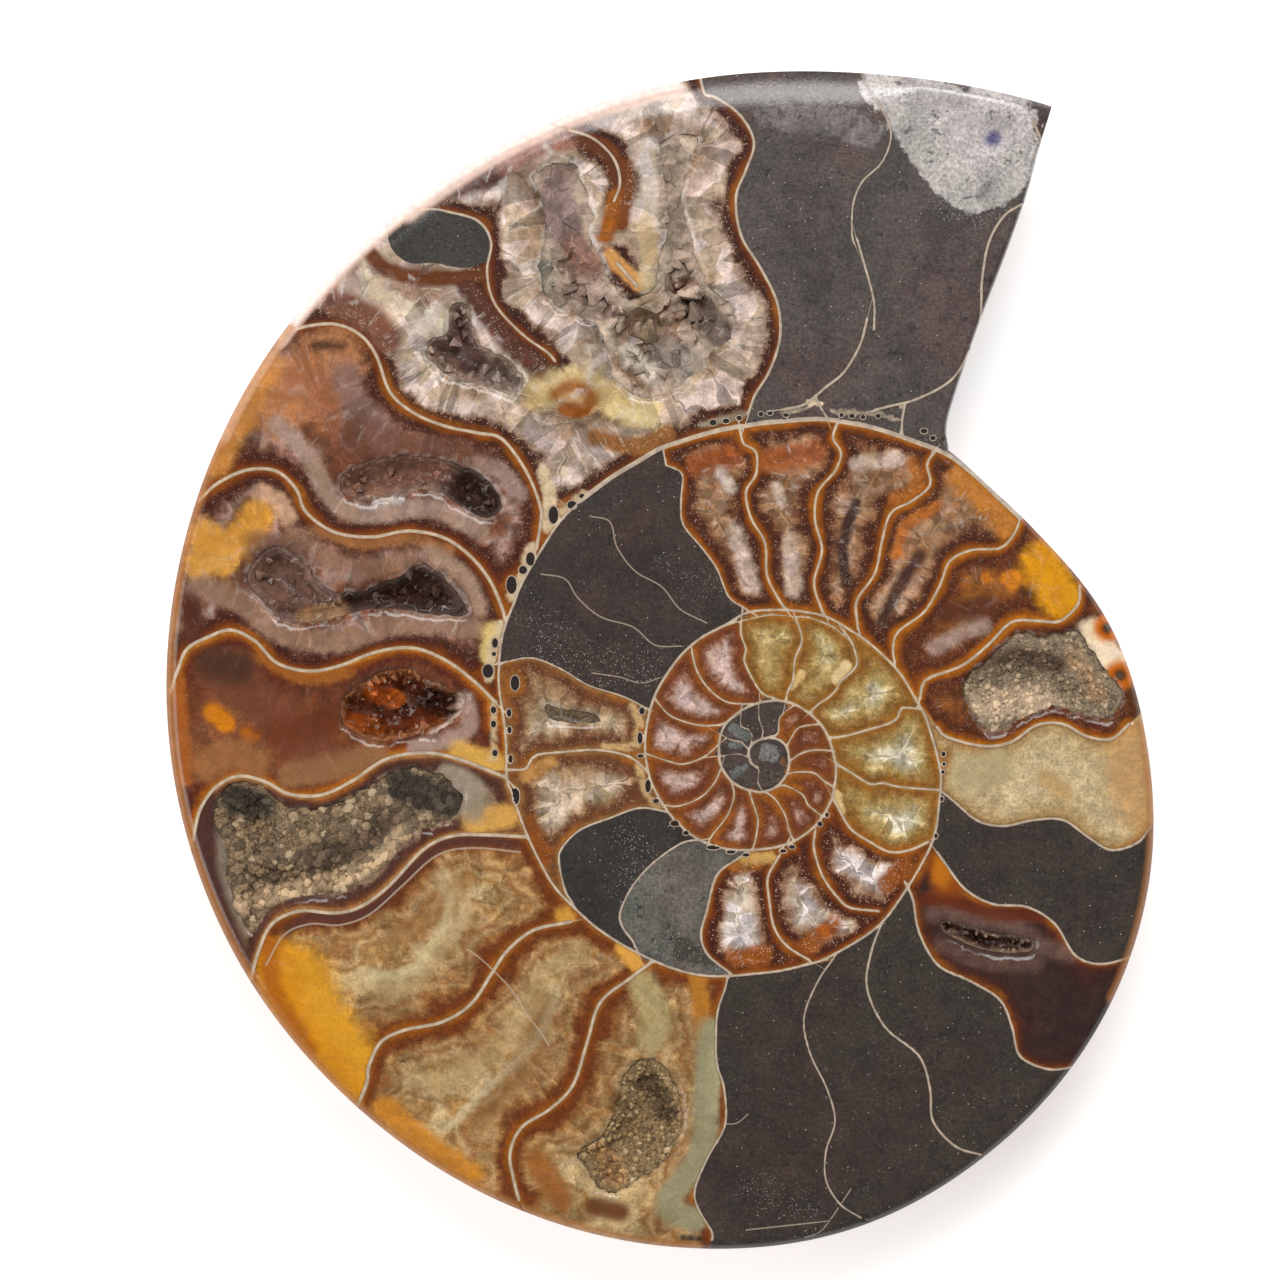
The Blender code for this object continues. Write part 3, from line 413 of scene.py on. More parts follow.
def spread_points():
    """Every corner of the sawn face, and the edges between them that must be kept."""
    rng = np.random.default_rng(4)
    corners = [rim]
    kept = []
    count = len(rim)
    barrier = [smooth_line(rim, 0.2, closed=True)]
    for line in lines:
        # Both ends run on a little, so that each chamber is shut off from the next.
        ends = [line[0] + (line[0] - line[1]) / np.linalg.norm(line[0] - line[1]) * RUN_ON,
                line[-1] + (line[-1] - line[-2]) / np.linalg.norm(line[-1] - line[-2]) * RUN_ON]
        whole = np.vstack([ends[:1], line, ends[1:]])
        corners.append(whole)
        kept += [(count + i, count + i + 1) for i in range(len(whole) - 1)]
        count += len(whole)
        barrier.append(line)
    for loop in list(hollows.values()) + rings:
        corners.append(loop)
        kept += [(count + i, count + (i + 1) % len(loop)) for i in range(len(loop))]
        count += len(loop)
        barrier.append(loop)
    barrier_tree = search_tree(np.vstack(barrier))
    loose = []
    for line in lines:
        for distance in WALL_ROWS:
            for row in offsets(line, distance):
                away, _ = nearest(barrier_tree, row)
                loose.append(row[away > 0.82 * distance])
    for half, row in hair_rows:
        for side in (row, *offsets(row, half + 0.1)):
            loose.append(clear_of(side, (barrier_tree, 0.2)))
    webs = np.vstack([oval(x, y, half_wide + 0.2, half_high + 0.2, 14)
                      for x, y, half_wide, half_high in BUBBLES])
    loose.append(clear_of(webs, (barrier_tree, 0.13)))
    discs = np.vstack([oval(x, y, reach, reach, 1 + round(reach / 0.045))
                       for x, y, radius in BURROWS for reach in np.arange(0.0, 1.4 * radius, 0.26)])
    discs = clear_of(discs, (barrier_tree, 0.2), (rim_tree, 0.2))
    loose.append(discs)
    barrier_tree = search_tree(np.vstack(barrier + [discs] + [row for _, row in hair_rows]))
    disc_tree = search_tree(discs)
    closed_rim = smooth_line(rim, LINE_STEP, closed=True)
    for distance in RIM_ROWS:
        for side in offsets(closed_rim, distance, closed=True):
            loose.append(clear_of(side, (rim_tree, 0.9 * distance), (ink_tree, 0.16), (disc_tree, 0.2)))
    # The rest of the face: a loose grid of even triangles.
    low, high = rim.min(0), rim.max(0)
    grid = []
    for i, y in enumerate(np.arange(low[1], high[1], FACE_STEP * 0.866)):
        across = np.arange(low[0] + FACE_STEP / 2 * (i % 2), high[0], FACE_STEP)
        grid.append(np.column_stack((across, np.full(len(across), y))))
    grid = np.vstack(grid)
    grid += rng.uniform(-0.13, 0.13, grid.shape)
    loose.append(clear_of(grid, (barrier_tree, 0.62), (rim_tree, 2.35)))
    return np.vstack(corners + loose), kept


places, kept_edges = spread_points()
flat = delaunay_2d_cdt([tuple(p) for p in places], kept_edges, [list(range(len(rim)))], 1, 1e-6, True)
face_corners = np.array([tuple(v) for v in flat[0]])
triangles = np.array(flat[2])
triangles = triangles[inside_loop(face_corners[triangles].mean(1), rim)]
used = np.unique(triangles)
renumber = np.full(len(face_corners), -1)
renumber[used] = np.arange(len(used))
barriers = {tuple(sorted(renumber[list(e)])) for e, origin in zip(flat[1], flat[4]) if origin}
face_corners = face_corners[used]
triangles = renumber[triangles]
middles = face_corners[triangles].mean(1)


def find_chambers():
    """Numbers each triangle by the chamber it lies in: triangles that meet across no kept edge."""
    parent = np.arange(len(triangles))

    def root(i):
        while parent[i] != i:
            parent[i] = parent[parent[i]]
            i = parent[i]
        return i

    seen = {}
    for number, (a, b, c) in enumerate(triangles.tolist()):
        for u, v in ((a, b), (b, c), (c, a)):
            key = (u, v) if u < v else (v, u)
            if key in barriers:
                continue
            other = seen.pop(key, None)
            if other is None:
                seen[key] = number
            else:
                p, q = root(number), root(other)
                if p != q:
                    parent[p] = q
    return np.array([root(i) for i in range(len(triangles))])


chamber = find_chambers()
middle_tree = search_tree(middles)


def linear(colour):
    """A colour given as 0 to 255 display values, as light."""
    values = np.array(colour, float) / 255
    return np.where(values <= 0.04045, values / 12.92, ((values + 0.055) / 1.055) ** 2.4)


# What fills the chambers: name, places in them, colours, and how strongly upright crystals show, or
# None for mudstone. The colours follow the distance in millimetres from the nearest wall, up to the
# middle of the widest chamber.
BAND_REACH = 7.5
FILLINGS = [
    ("geode_calcite", [(72, 26), (41, 31), (58, 42), (52, 24)],
     [(0, (128, 74, 36)), (0.25, (92, 44, 22)), (0.7, (56, 24, 15)), (1.1, (66, 34, 22)),
      (1.5, (138, 112, 94)), (2.1, (184, 164, 148)), (3.2, (192, 174, 156)), (4.6, (166, 144, 124)),
      (7.5, (132, 108, 88))], 0.9),
    ("dusky_calcite", [(30, 42), (22, 60)],
     [(0, (146, 86, 38)), (0.25, (104, 48, 18)), (0.8, (64, 26, 14)), (1.4, (74, 37, 24)),
      (2.2, (116, 80, 64)), (3, (148, 120, 106)), (3.8, (120, 82, 64)), (5, (108, 66, 46)),
      (7.5, (110, 66, 44))], 0.6),
    ("sandy_calcite", [(22, 71)],
     [(0, (186, 124, 58)), (0.4, (132, 68, 28)), (1, (82, 34, 18)), (2, (100, 54, 34)),
      (3.5, (112, 62, 38)), (7.5, (120, 76, 50))], 0.3),
    ("banded_calcite", [(48, 82)],
     [(0, (176, 128, 78)), (0.35, (104, 62, 40)), (0.8, (70, 38, 28)), (1.3, (80, 48, 38)),
      (1.7, (132, 106, 82)), (2.6, (142, 126, 108)), (7.5, (138, 122, 102))], 0.3),
    ("honey_calcite", [(40, 96), (48, 108), (64.5, 102)],
     [(0, (146, 92, 44)), (0.4, (112, 56, 22)), (1, (104, 54, 26)), (1.7, (142, 98, 58)),
      (2.4, (168, 134, 92)), (3.3, (140, 98, 58)), (4.5, (176, 146, 104)), (5.7, (148, 110, 66)),
      (7.5, (186, 160, 118))], 0.35),
    ("purple_mud", [(98, 97)],
     [(0, (132, 72, 30)), (0.4, (78, 36, 20)), (1.2, (54, 27, 22)), (2.2, (54, 33, 29)),
      (7.5, (50, 33, 29))], 0.1),
    ("pale_calcite", [(105, 78)],
     [(0, (146, 112, 70)), (0.5, (168, 140, 98)), (1.6, (190, 168, 128)), (3.6, (194, 174, 136)),
      (7.5, (192, 168, 126))], 0.15),
    ("amber_calcite", [(110, 62), (100, 58), (112.5, 71)],
     [(0, (184, 118, 48)), (0.35, (136, 72, 24)), (0.9, (76, 34, 16)), (1.8, (98, 52, 26)),
      (3.2, (130, 80, 42)), (7.5, (144, 90, 42))], 0.55),
    ("brown_core_calcite", [(93, 53), (86, 50), (79, 50), (71.5, 49)],
     [(0, (170, 106, 46)), (0.25, (128, 68, 26)), (0.7, (68, 30, 13)), (1.2, (82, 44, 27)),
      (1.8, (132, 92, 64)), (2.5, (160, 128, 100)), (3.4, (140, 102, 72)), (7.5, (140, 102, 72))], 0.75),
    ("pale_core_calcite", [(60, 73.8), (57, 79)],
     [(0, (146, 106, 66)), (0.4, (112, 70, 40)), (1, (96, 56, 35)), (1.6, (128, 92, 64)),
      (2.4, (162, 138, 108)), (3.4, (184, 164, 138)), (7.5, (184, 164, 138))], 0.75),
    ("white_core_calcite", [(74, 91), (80, 92), (85.5, 86.5)],
     [(0, (148, 94, 48)), (0.25, (112, 54, 22)), (0.7, (66, 27, 13)), (1.15, (84, 44, 26)),
      (1.6, (148, 114, 90)), (2.2, (186, 166, 148)), (3, (204, 192, 180)), (7.5, (204, 192, 180))], 0.95),
    ("olive_calcite", [(88, 81), (88, 75), (86.5, 69), (82, 66), (77, 65)],
     [(0, (166, 124, 66)), (0.3, (128, 84, 38)), (0.9, (142, 106, 56)), (1.6, (164, 138, 86)),
      (2.4, (182, 164, 116)), (3.2, (204, 194, 162)), (7.5, (204, 194, 162))], 0.8),
    ("red_calcite", [(72, 66.5), (68, 69), (68, 74.5), (68, 78.5), (71, 81), (74, 82), (77, 82),
                     (79.5, 81.5), (80.8, 78.5), (81.2, 76.2), (81, 73.8), (80, 71.8)],
     [(0, (150, 100, 62)), (0.25, (116, 64, 34)), (0.7, (104, 54, 32)), (1.1, (134, 92, 72)),
      (1.7, (184, 158, 146)), (7.5, (192, 170, 158))], 0.7),
    ("upper_mud", [(95, 20), (80, 25), (99.6, 28), (93, 42), (103.9, 13), (80, 41.5)],
     [(0, (74, 66, 61)), (7.5, (74, 65, 61))], None),
    ("lens_mud", [(43, 24)], [(0, (52, 49, 43)), (7.5, (54, 50, 45))], None),
    ("olive_mud", [(76, 110), (87, 110), (97, 108), (105, 88)],
     [(0, (54, 46, 39)), (7.5, (52, 42, 36))], None),
    ("black_mud", [(62, 60)], [(0, (54, 45, 39)), (7.5, (54, 42, 37))], None),
    ("inner_mud", [(62, 85)], [(0, (46, 43, 38)), (7.5, (48, 44, 39))], None),
    ("grey_mud", [(67, 90)], [(0, (88, 88, 80)), (7.5, (104, 102, 92))], None),
    ("core_stone", [(74, 74.8), (75, 72.3), (77, 72), (73, 77), (74.9, 78.2), (77.4, 77.8), (76.8, 75.5),
                    (73.2, 73.1), (73.4, 75)],
     [(0, (66, 54, 48)), (7.5, (60, 50, 44))], None),
    ("bubble_mud", [(x, y) for x, y, _, _ in BUBBLES], [(0, (38, 26, 20)), (7.5, (30, 20, 16))], None),
]

filling = np.full(len(triangles), -1)
for number, (name, spots, stops, rods) in enumerate(FILLINGS):
    _, found = nearest(middle_tree, spots)
    for triangle in found:
        filling[chamber == chamber[triangle]] = number
settled = np.flatnonzero(filling >= 0)
loose = np.flatnonzero(filling < 0)
settled_tree = search_tree(middles[settled])
_, close = nearest(settled_tree, middles[loose])
filling[loose] = filling[settled[close]]

# Patches of colour on the polished face: colour, reach in millimetres, strength, course; two of them are
# painted highlights.
# Each one stays in the chamber where its course begins.
PATCHES = [
    ((178, 170, 166), 4.2, 0.95, [(88.6, 8.4), (92, 9.5), (96, 12.5), (99, 16.2), (101, 12.5),
        (99, 10.5)]),
    ((170, 163, 158), 3, 0.85, [(90.6, 12), (94, 17), (97, 19.4), (100, 18.5), (102.4, 16)]),
    ((78, 72, 118), 1.15, 1, [(99.2, 13.9), (99.4, 13.8)]),
    ((66, 60, 56), 0.6, 0.7, [(97.9, 19.7), (99, 18.3)]),
    ((66, 57, 53), 4, 0.5, [(81, 14), (80, 22), (82, 30)]),
    # Painted sheen: the mud under the top of the rounded edge made lighter, as the tail of the edge's
    # highlight.
    ((108, 100, 98), 3, 0.55, [(76.6, 11.6), (82, 11.2), (86.8, 13.6)]),
    ((178, 140, 112), 1.1, 0.7, [(40, 21.4), (34.5, 26.6), (31, 30.5), (28.4, 33.4)]),
    ((194, 178, 150), 1.1, 0.85, [(36.4, 27.4), (37.6, 29.2), (40.2, 30.4), (42.2, 32.2), (43.6, 33.4)]),
    ((204, 190, 168), 1.2, 0.9, [(42.2, 32.8), (44, 31), (44.4, 33.6)]),
    ((96, 54, 28), 1.2, 0.85, [(36.4, 24.6), (38.2, 26.6), (41, 27.6), (45, 27.8), (48, 27.4)]),
    ((118, 78, 62), 2.2, 0.8, [(33.5, 30.2), (36.6, 31.6), (38.8, 33.8)]),
    ((84, 50, 38), 1.5, 0.8, [(46.6, 28.8), (48.8, 31.6), (51.2, 34.8), (54.2, 37.2)]),
    ((208, 184, 136), 2.5, 0.85, [(54, 39.5), (58, 38.4), (63.5, 41)]),
    ((152, 90, 40), 1.1, 0.9, [(55.6, 39.4), (57.2, 38.6), (59.2, 39.6), (58.2, 41), (56.4, 40.8)]),
    ((214, 170, 116), 0.6, 0.9, [(57, 39.8), (58, 40)]),
    ((222, 202, 152), 1.5, 0.85, [(61.5, 40.8), (65, 41.8)]),
    ((226, 200, 148), 1, 0.8, [(63.4, 40.2), (65.4, 40.8)]),
    ((138, 92, 52), 1.3, 0.85, [(59.5, 43.8), (63.8, 44.6), (66.8, 43.4)]),
    ((196, 144, 90), 1.1, 0.95, [(61, 25.6), (62.6, 27.2), (64.2, 28.6)]),
    ((148, 88, 40), 1.3, 0.85, [(61.6, 19.6), (61.2, 21.4), (60.6, 23.6)]),
    ((108, 60, 30), 1, 0.8, [(62.4, 16.4), (62.8, 19), (62.2, 22.6)]),
    ((200, 186, 170), 1.5, 0.75, [(64.9, 14.5), (64.9, 19), (64.8, 22.6)]),
    ((194, 172, 138), 1.5, 0.85, [(64.8, 22.8), (65, 26.4), (64.8, 28.4)]),
    ((84, 50, 38), 1.6, 0.8, [(42.6, 20.2), (46, 18.6), (49.4, 17.6)]),
    ((150, 104, 88), 1.3, 0.7, [(50.4, 16.8), (53.4, 14.8), (57, 14.2)]),
    ((90, 48, 28), 1.2, 0.8, [(58, 13.9), (60.4, 15.2), (61.6, 17.6)]),
    ((170, 116, 80), 5.2, 0.8, [(27.5, 40), (30.5, 38), (33, 36)]),
    ((190, 130, 72), 2.2, 0.85, [(21.6, 46.2), (24.2, 41.6), (26.8, 36.6)]),
    ((152, 98, 70), 2.8, 0.7, [(30.4, 37.6), (32.6, 39.6), (33.2, 42)]),
    ((60, 32, 20), 0.8, 0.85, [(31.4, 34.6), (34.2, 34.6)]),
    ((128, 98, 88), 2.2, 0.7, [(34.4, 37.4), (35.4, 40.2), (38.4, 43.6)]),
    ((156, 130, 114), 1.4, 0.85, [(27.6, 42.4), (30.4, 45), (32.4, 48.6), (34.4, 51), (38, 51.4),
        (43, 50.8), (48, 53)]),
    ((104, 68, 52), 3.2, 0.75, [(36, 43.5), (40, 45), (46, 46)]),
    # A painted highlight on the lower lip of the fourth chamber's hollow.
    ((206, 196, 190), 0.7, 0.8, [(37.8, 50.1), (40, 49.9)]),
    ((150, 124, 112), 1.3, 0.8, [(47.8, 46.4), (50.2, 47.2), (52, 49.4)]),
    ((208, 150, 76), 2.6, 0.95, [(20.4, 53.6), (22.4, 54.6), (24.6, 53.4), (25.6, 51.6)]),
    ((204, 150, 80), 2, 0.9, [(19.6, 56.4), (22.4, 56.4)]),
    ((188, 150, 120), 1.3, 0.8, [(26, 49.2), (27.8, 50), (28.8, 51.6)]),
    ((146, 96, 60), 0.9, 0.75, [(31.4, 52.9), (36, 54.4), (41, 53.9), (45, 55)]),
    ((134, 100, 80), 1.6, 0.75, [(29.4, 53.4), (32.6, 55.6), (37, 57), (41, 55.8)]),
    ((154, 126, 106), 1.3, 0.8, [(43, 55.2), (46.4, 57.6), (48, 60.6)]),
    ((106, 74, 60), 2.4, 0.75, [(26, 54.4), (30, 56.4)]),
    ((144, 112, 92), 1.7, 0.85, [(19.6, 58.8), (24, 60.2), (28, 63.2), (33.6, 64.2), (38.6, 62.6),
        (44, 62.4), (47.4, 62.8)]),
    ((82, 42, 28), 1.8, 0.8, [(19, 60.4), (19.4, 63.4)]),
    ((206, 178, 116), 1.3, 0.85, [(49.2, 63), (48.8, 65.6)]),
    ((114, 66, 46), 3.4, 0.8, [(22, 67.5), (27, 71), (32, 76)]),
    ((72, 42, 28), 2.7, 0.95, [(21.4, 66.4), (23.8, 67)]),
    ((196, 120, 44), 1.4, 0.95, [(21.2, 71.2), (22.6, 72.3)]),
    ((170, 96, 40), 1, 0.8, [(24.6, 73.2), (25.4, 73.6)]),
    ((98, 48, 24), 2.4, 0.75, [(28, 73.5), (33, 72)]),
    ((146, 98, 62), 2.6, 0.85, [(20.6, 76.6), (23, 75.4), (25.6, 76.2)]),
    ((140, 98, 66), 2, 0.9, [(29, 77.6), (33, 76.8), (37.5, 75.4)]),
    ((150, 90, 44), 1, 0.75, [(26, 65.6), (30.6, 68), (35, 67.2)]),
    ((160, 132, 118), 1.3, 0.85, [(46.6, 70), (47, 72.6), (44.6, 74), (41.5, 74.8)]),
    ((206, 160, 86), 1.7, 0.9, [(46, 75.2), (49.6, 76.4)]),
    ((160, 92, 46), 1.1, 0.8, [(17.9, 68), (18.6, 78)]),
    ((72, 42, 34), 2.6, 1, [(20.4, 80.5), (20, 86), (21.4, 91), (23.2, 95.4)]),
    ((204, 156, 88), 1.9, 0.9, [(47.5, 82.3), (50.6, 81.6)]),
    ((152, 136, 116), 1.7, 0.85, [(44.8, 77.4), (47.4, 78.8), (47.4, 81.2)]),
    ((84, 48, 38), 0.75, 0.9, [(27.8, 95), (30.4, 91.9), (34, 91.9), (37.6, 90.6), (41, 87.2),
        (44.2, 84.6), (48, 84.1), (51.6, 84.5)]),
    ((208, 150, 62), 5.4, 0.95, [(29.8, 98), (31.6, 102), (34, 105.6)]),
    ((206, 140, 56), 3, 0.85, [(27.8, 96), (29.6, 102.6), (34.6, 108.6)]),
    ((160, 88, 34), 1.5, 0.8, [(27, 94.6), (27.4, 99), (30.8, 105)]),
    ((188, 164, 122), 2, 0.6, [(44.6, 88), (46, 91), (42.6, 96.4), (40, 98.6), (36.5, 98)]),
    ((150, 108, 64), 1.6, 0.55, [(39.5, 93.5), (43, 92), (46.8, 88)]),
    ((200, 182, 142), 0.7, 0.6, [(45.2, 89.4), (44, 93.2), (41.2, 97), (37, 97.6)]),
    ((194, 132, 62), 2.2, 0.85, [(38.6, 111), (42, 114), (47, 117.6)]),
    ((202, 148, 74), 1.5, 0.85, [(56.4, 91.6), (57.2, 93.4)]),
    ((180, 154, 110), 1.8, 0.55, [(41, 108), (44.6, 107.6), (50, 104.4), (54, 98), (58, 95)]),
    ((194, 176, 138), 0.7, 0.6, [(44.6, 113), (49, 108.6), (53.6, 104), (56, 98.6)]),
    ((132, 96, 56), 2, 0.5, [(48, 112), (52.4, 106.4), (54.6, 100.4)]),
    ((214, 158, 82), 1.4, 0.9, [(62.4, 94.9), (63.6, 96.2)]),
    ((174, 116, 54), 1.4, 0.85, [(69.8, 97.8), (70.4, 103)]),
    ((146, 138, 106), 1.9, 0.95, [(71, 103), (70.6, 109), (70.2, 115), (66.8, 120.4), (69.4, 122)]),
    ((164, 154, 118), 1, 0.7, [(71.4, 105.5), (71.2, 111)]),
    ((100, 60, 32), 1.6, 0.8, [(59.4, 120.6), (62, 121.2)]),
    ((166, 148, 104), 2.4, 0.75, [(64.2, 98.4), (65.6, 101.4), (65, 104)]),
    ((146, 92, 48), 2, 0.75, [(53.6, 116), (56, 119.8)]),
    ((40, 34, 28), 0.4, 0.9, [(68.2, 123.8), (70, 123.9)]),
    ((146, 76, 32), 2.6, 0.8, [(94.4, 86.6), (94.8, 88.6)]),
    ((190, 118, 48), 1.5, 0.8, [(94.4, 86.4), (94.2, 87.6)]),
    ((128, 100, 88), 1.6, 0.45, [(93.4, 91.4), (97, 92), (101, 92.6), (104.2, 94.6), (107, 95.4)]),
    ((112, 84, 72), 1.6, 0.45, [(94.2, 94.4), (98, 96), (103.4, 96.4)]),
    ((92, 38, 18), 1.1, 0.8, [(92.6, 90), (95.4, 90.2), (99, 91.4), (104, 91.6)]),
    ((192, 146, 96), 4.6, 0.6, [(112.8, 73.4), (113.4, 77.6), (114.4, 80.8)]),
    ((176, 158, 120), 3, 0.7, [(96.6, 77.6), (99.6, 76.6)]),
    ((180, 146, 100), 1.5, 0.7, [(104.6, 77.8), (106.4, 79.2)]),
    ((236, 214, 182), 2, 1, [(109.2, 63.2), (110.8, 65.6), (112.4, 66.4)]),
    ((210, 146, 52), 3.2, 0.95, [(104.2, 56.4), (106, 59.6)]),
    ((190, 118, 50), 1.5, 0.9, [(101, 58), (101.2, 58.1)]),
    ((180, 106, 42), 0.9, 0.9, [(98.5, 57.8), (98.6, 57.8)]),
    ((162, 136, 120), 1.3, 0.7, [(93.4, 64.8), (96.4, 63.2), (98.4, 62.6)]),
    ((84, 44, 28), 1.6, 0.7, [(94.4, 61.5), (98.4, 60.4)]),
    ((142, 78, 42), 2, 0.75, [(69.8, 46.4), (73, 45.6)]),
    ((146, 82, 46), 2, 0.7, [(76.8, 46.2), (81.6, 45.2)]),
    ((182, 118, 58), 2.6, 0.8, [(96.4, 47.8), (99, 50.2), (101, 52.4)]),
    ((166, 100, 50), 1.1, 0.7, [(91.2, 46.2), (91.8, 48.4), (89.4, 50)]),
    ((168, 100, 50), 1, 0.7, [(93.6, 50.6), (90.6, 52.6), (89.6, 55.4)]),
    ((196, 178, 162), 0.9, 0.7, [(72, 47.2), (73.2, 48.8)]),
    ((192, 170, 152), 1.4, 0.6, [(73.4, 53), (75.2, 58.6)]),
    ((200, 182, 168), 0.8, 0.7, [(77.6, 48.6), (78.2, 50.4)]),
    ((192, 170, 152), 1.4, 0.6, [(79, 54), (79.4, 59)]),
    ((188, 166, 150), 1.3, 0.65, [(85.8, 46.4), (89.6, 45.9)]),
    ((58, 34, 24), 0.85, 0.9, [(85.6, 50.2), (84.3, 54.4), (84.6, 58.2)]),
    ((70, 42, 32), 1, 0.8, [(92, 55.6), (89.8, 58.8), (88.2, 62.4)]),
    # Webs of shell where the walls meet the coil, and amber wedges in the corners behind them.
    ((206, 182, 148), 1, 0.9, [(54.3, 47.2), (55, 49.6), (54.8, 52.6)]),
    ((200, 176, 140), 0.6, 0.85, [(56.2, 51.2), (58.4, 49.4)]),
    ((206, 182, 148), 0.9, 0.9, [(53.2, 54.8), (52.4, 57.4), (51.2, 59.6)]),
    ((206, 184, 150), 0.7, 0.85, [(50, 62.4), (49.2, 65.2), (48.9, 67.8)]),
    ((200, 174, 136), 0.5, 0.8, [(49.4, 70.4), (49.4, 76)]),
    ((150, 136, 116), 0.55, 0.75, [(70.2, 42.5), (74, 41.6), (77.4, 41.1)]),
    ((150, 136, 116), 0.55, 0.75, [(78.2, 41.1), (80.6, 41)]),
    ((150, 136, 116), 0.55, 0.75, [(83.2, 41.2), (88, 41.4), (91.4, 42.8)]),
    ((200, 178, 146), 0.6, 0.8, [(80.8, 40.2), (82, 40.4)]),
    ((200, 178, 146), 0.6, 0.8, [(90.2, 40.7), (91.6, 40.6)]),
    ((192, 158, 112), 0.6, 0.85, [(63.2, 70.6), (64.1, 72.4)]),
    ((192, 158, 112), 0.6, 0.85, [(63.6, 73.4), (63.4, 74.7), (60.4, 74.6)]),
    ((192, 158, 112), 0.6, 0.85, [(63.9, 76.6), (64.6, 79.4), (65.8, 80.6)]),
    ((178, 130, 78), 1.2, 0.7, [(52.6, 77.6), (55, 76.2)]),
    ((132, 74, 34), 1.4, 0.7, [(53, 82.4), (54.6, 85.6)]),
    ((150, 92, 44), 1.4, 0.7, [(73.4, 86.4), (75.6, 86.2)]),
    ((196, 156, 96), 0.9, 0.8, [(74.4, 85.8), (77, 85.8)]),
    ((146, 82, 40), 1.5, 0.75, [(73.6, 95.8), (76.4, 95.4)]),
    ((146, 82, 40), 1.5, 0.75, [(80.6, 94.6), (83.2, 92.6)]),
    ((138, 76, 36), 1.5, 0.75, [(88.6, 88.4), (90.6, 86.6)]),
    ((214, 188, 140), 0.9, 0.9, [(83.6, 67.8), (84.6, 66.6)]),
    ((212, 182, 130), 0.8, 0.9, [(83.6, 79.4), (84, 81.2)]),
    ((204, 172, 118), 0.7, 0.85, [(79.2, 68.6), (80.2, 67.4)]),
    ((66, 62, 54), 2.6, 0.6, [(68.4, 95), (71.4, 95.2)]),
    # The middle: dark stone with blue-grey spots round the first chamber.
    ((96, 95, 92), 0.95, 0.95, [(73.4, 72.9), (74.6, 73.6)]),
    ((92, 91, 89), 0.7, 0.9, [(73.2, 74.6), (74.2, 74.2)]),
    ((94, 93, 90), 0.8, 0.95, [(73.4, 77.4), (74.4, 76.8)]),
    ((102, 100, 98), 1.5, 0.95, [(76.4, 75.2), (77.2, 75.4)]),
    ((120, 72, 34), 0.7, 0.8, [(78.2, 76.2), (78.4, 76.8)]),
]


# Colours of the rounded edge, over all chambers: colour, reach, strength, how far inside the rim, and
# the angles round the coil's middle between which it runs. The amber ones are the thin shell's own colour;
# the pale ones are pearly shell brightened into a painted highlight.
EDGE_COLOURS_AND_HIGHLIGHT = [
    ((178, 116, 58), 0.8, 0.7, 0.3, (148, 262)),
    ((182, 116, 58), 0.7, 0.65, 0.25, (324, 364)),
    # Pearly shell, brightened into a painted highlight along the top of the rim.
    ((238, 206, 190), 1.15, 0.95, 0.75, (97, 124)),
    ((234, 200, 182), 0.85, 0.95, 0.5, (122, 140)),
    ((252, 240, 232), 0.6, 0.9, 0.3, (97, 138)),
    ((206, 156, 120), 0.8, 0.85, 0.4, (138, 150)),
]

# Clouds of fine white specks in the mudstone: reach, strength, course.
SPECK_CLOUDS = [
    (3.4, 1, [(54.5, 64.5), (58, 66.4), (62, 67), (65, 67)]),
    (2.4, 0.6, [(52.5, 60), (56, 63)]),
    (2.6, 1.1, [(62.6, 83.6), (64.4, 86), (62.6, 88)]),
    (2.2, 0.9, [(66.6, 95), (70.2, 94.6)]),
    (1.6, 1.1, [(94, 20.6), (97, 21.8), (100.4, 21.4)]),
    (2.4, 0.6, [(91, 13), (94, 16.6), (97.6, 18.6)]),
    (3, 0.7, [(76, 119), (81, 121)]),
    (2.6, 0.5, [(76.2, 60), (66, 57)]),
    (1.2, 0.9, [(76.8, 75.5)]),
    (1, 0.9, [(77.4, 77.9)]),
]


def coil_angle(corners):
    """Angle round the coil's middle, in degrees counter-clockwise."""
    away = corners - COIL
    return np.degrees(np.arctan2(-away[:, 1], away[:, 0])) % 360


def edge_course(inset, angles):
    """Places on the rim between two angles, moved inwards."""
    turned = np.unwrap(np.radians(coil_angle(rim)))
    turned = np.degrees(turned - turned[0]) + coil_angle(rim[:1])[0]
    own = rim[(turned > angles[0]) & (turned < angles[1])]
    inwards = COIL - own
    return own + inwards / np.linalg.norm(inwards, axis=1)[:, None] * inset


def speck_crowd(corners):
    """How thick the white specks lie at each corner."""
    crowd = np.zeros(len(corners))
    for reach, strength, points in SPECK_CLOUDS:
        course = smooth_line(points, 0.3) if len(points) > 1 else np.array(points)
        away, _ = nearest(search_tree(course), corners)
        crowd = np.maximum(crowd, strength * np.clip(1.2 - 1.2 * away / reach, 0, 1))
    return crowd


FINE_COURSE = 60      # a course with this many points is smooth already
PATCH_FALL = 1.35     # how steeply a patch's strength falls off; over 1 leaves it a full core


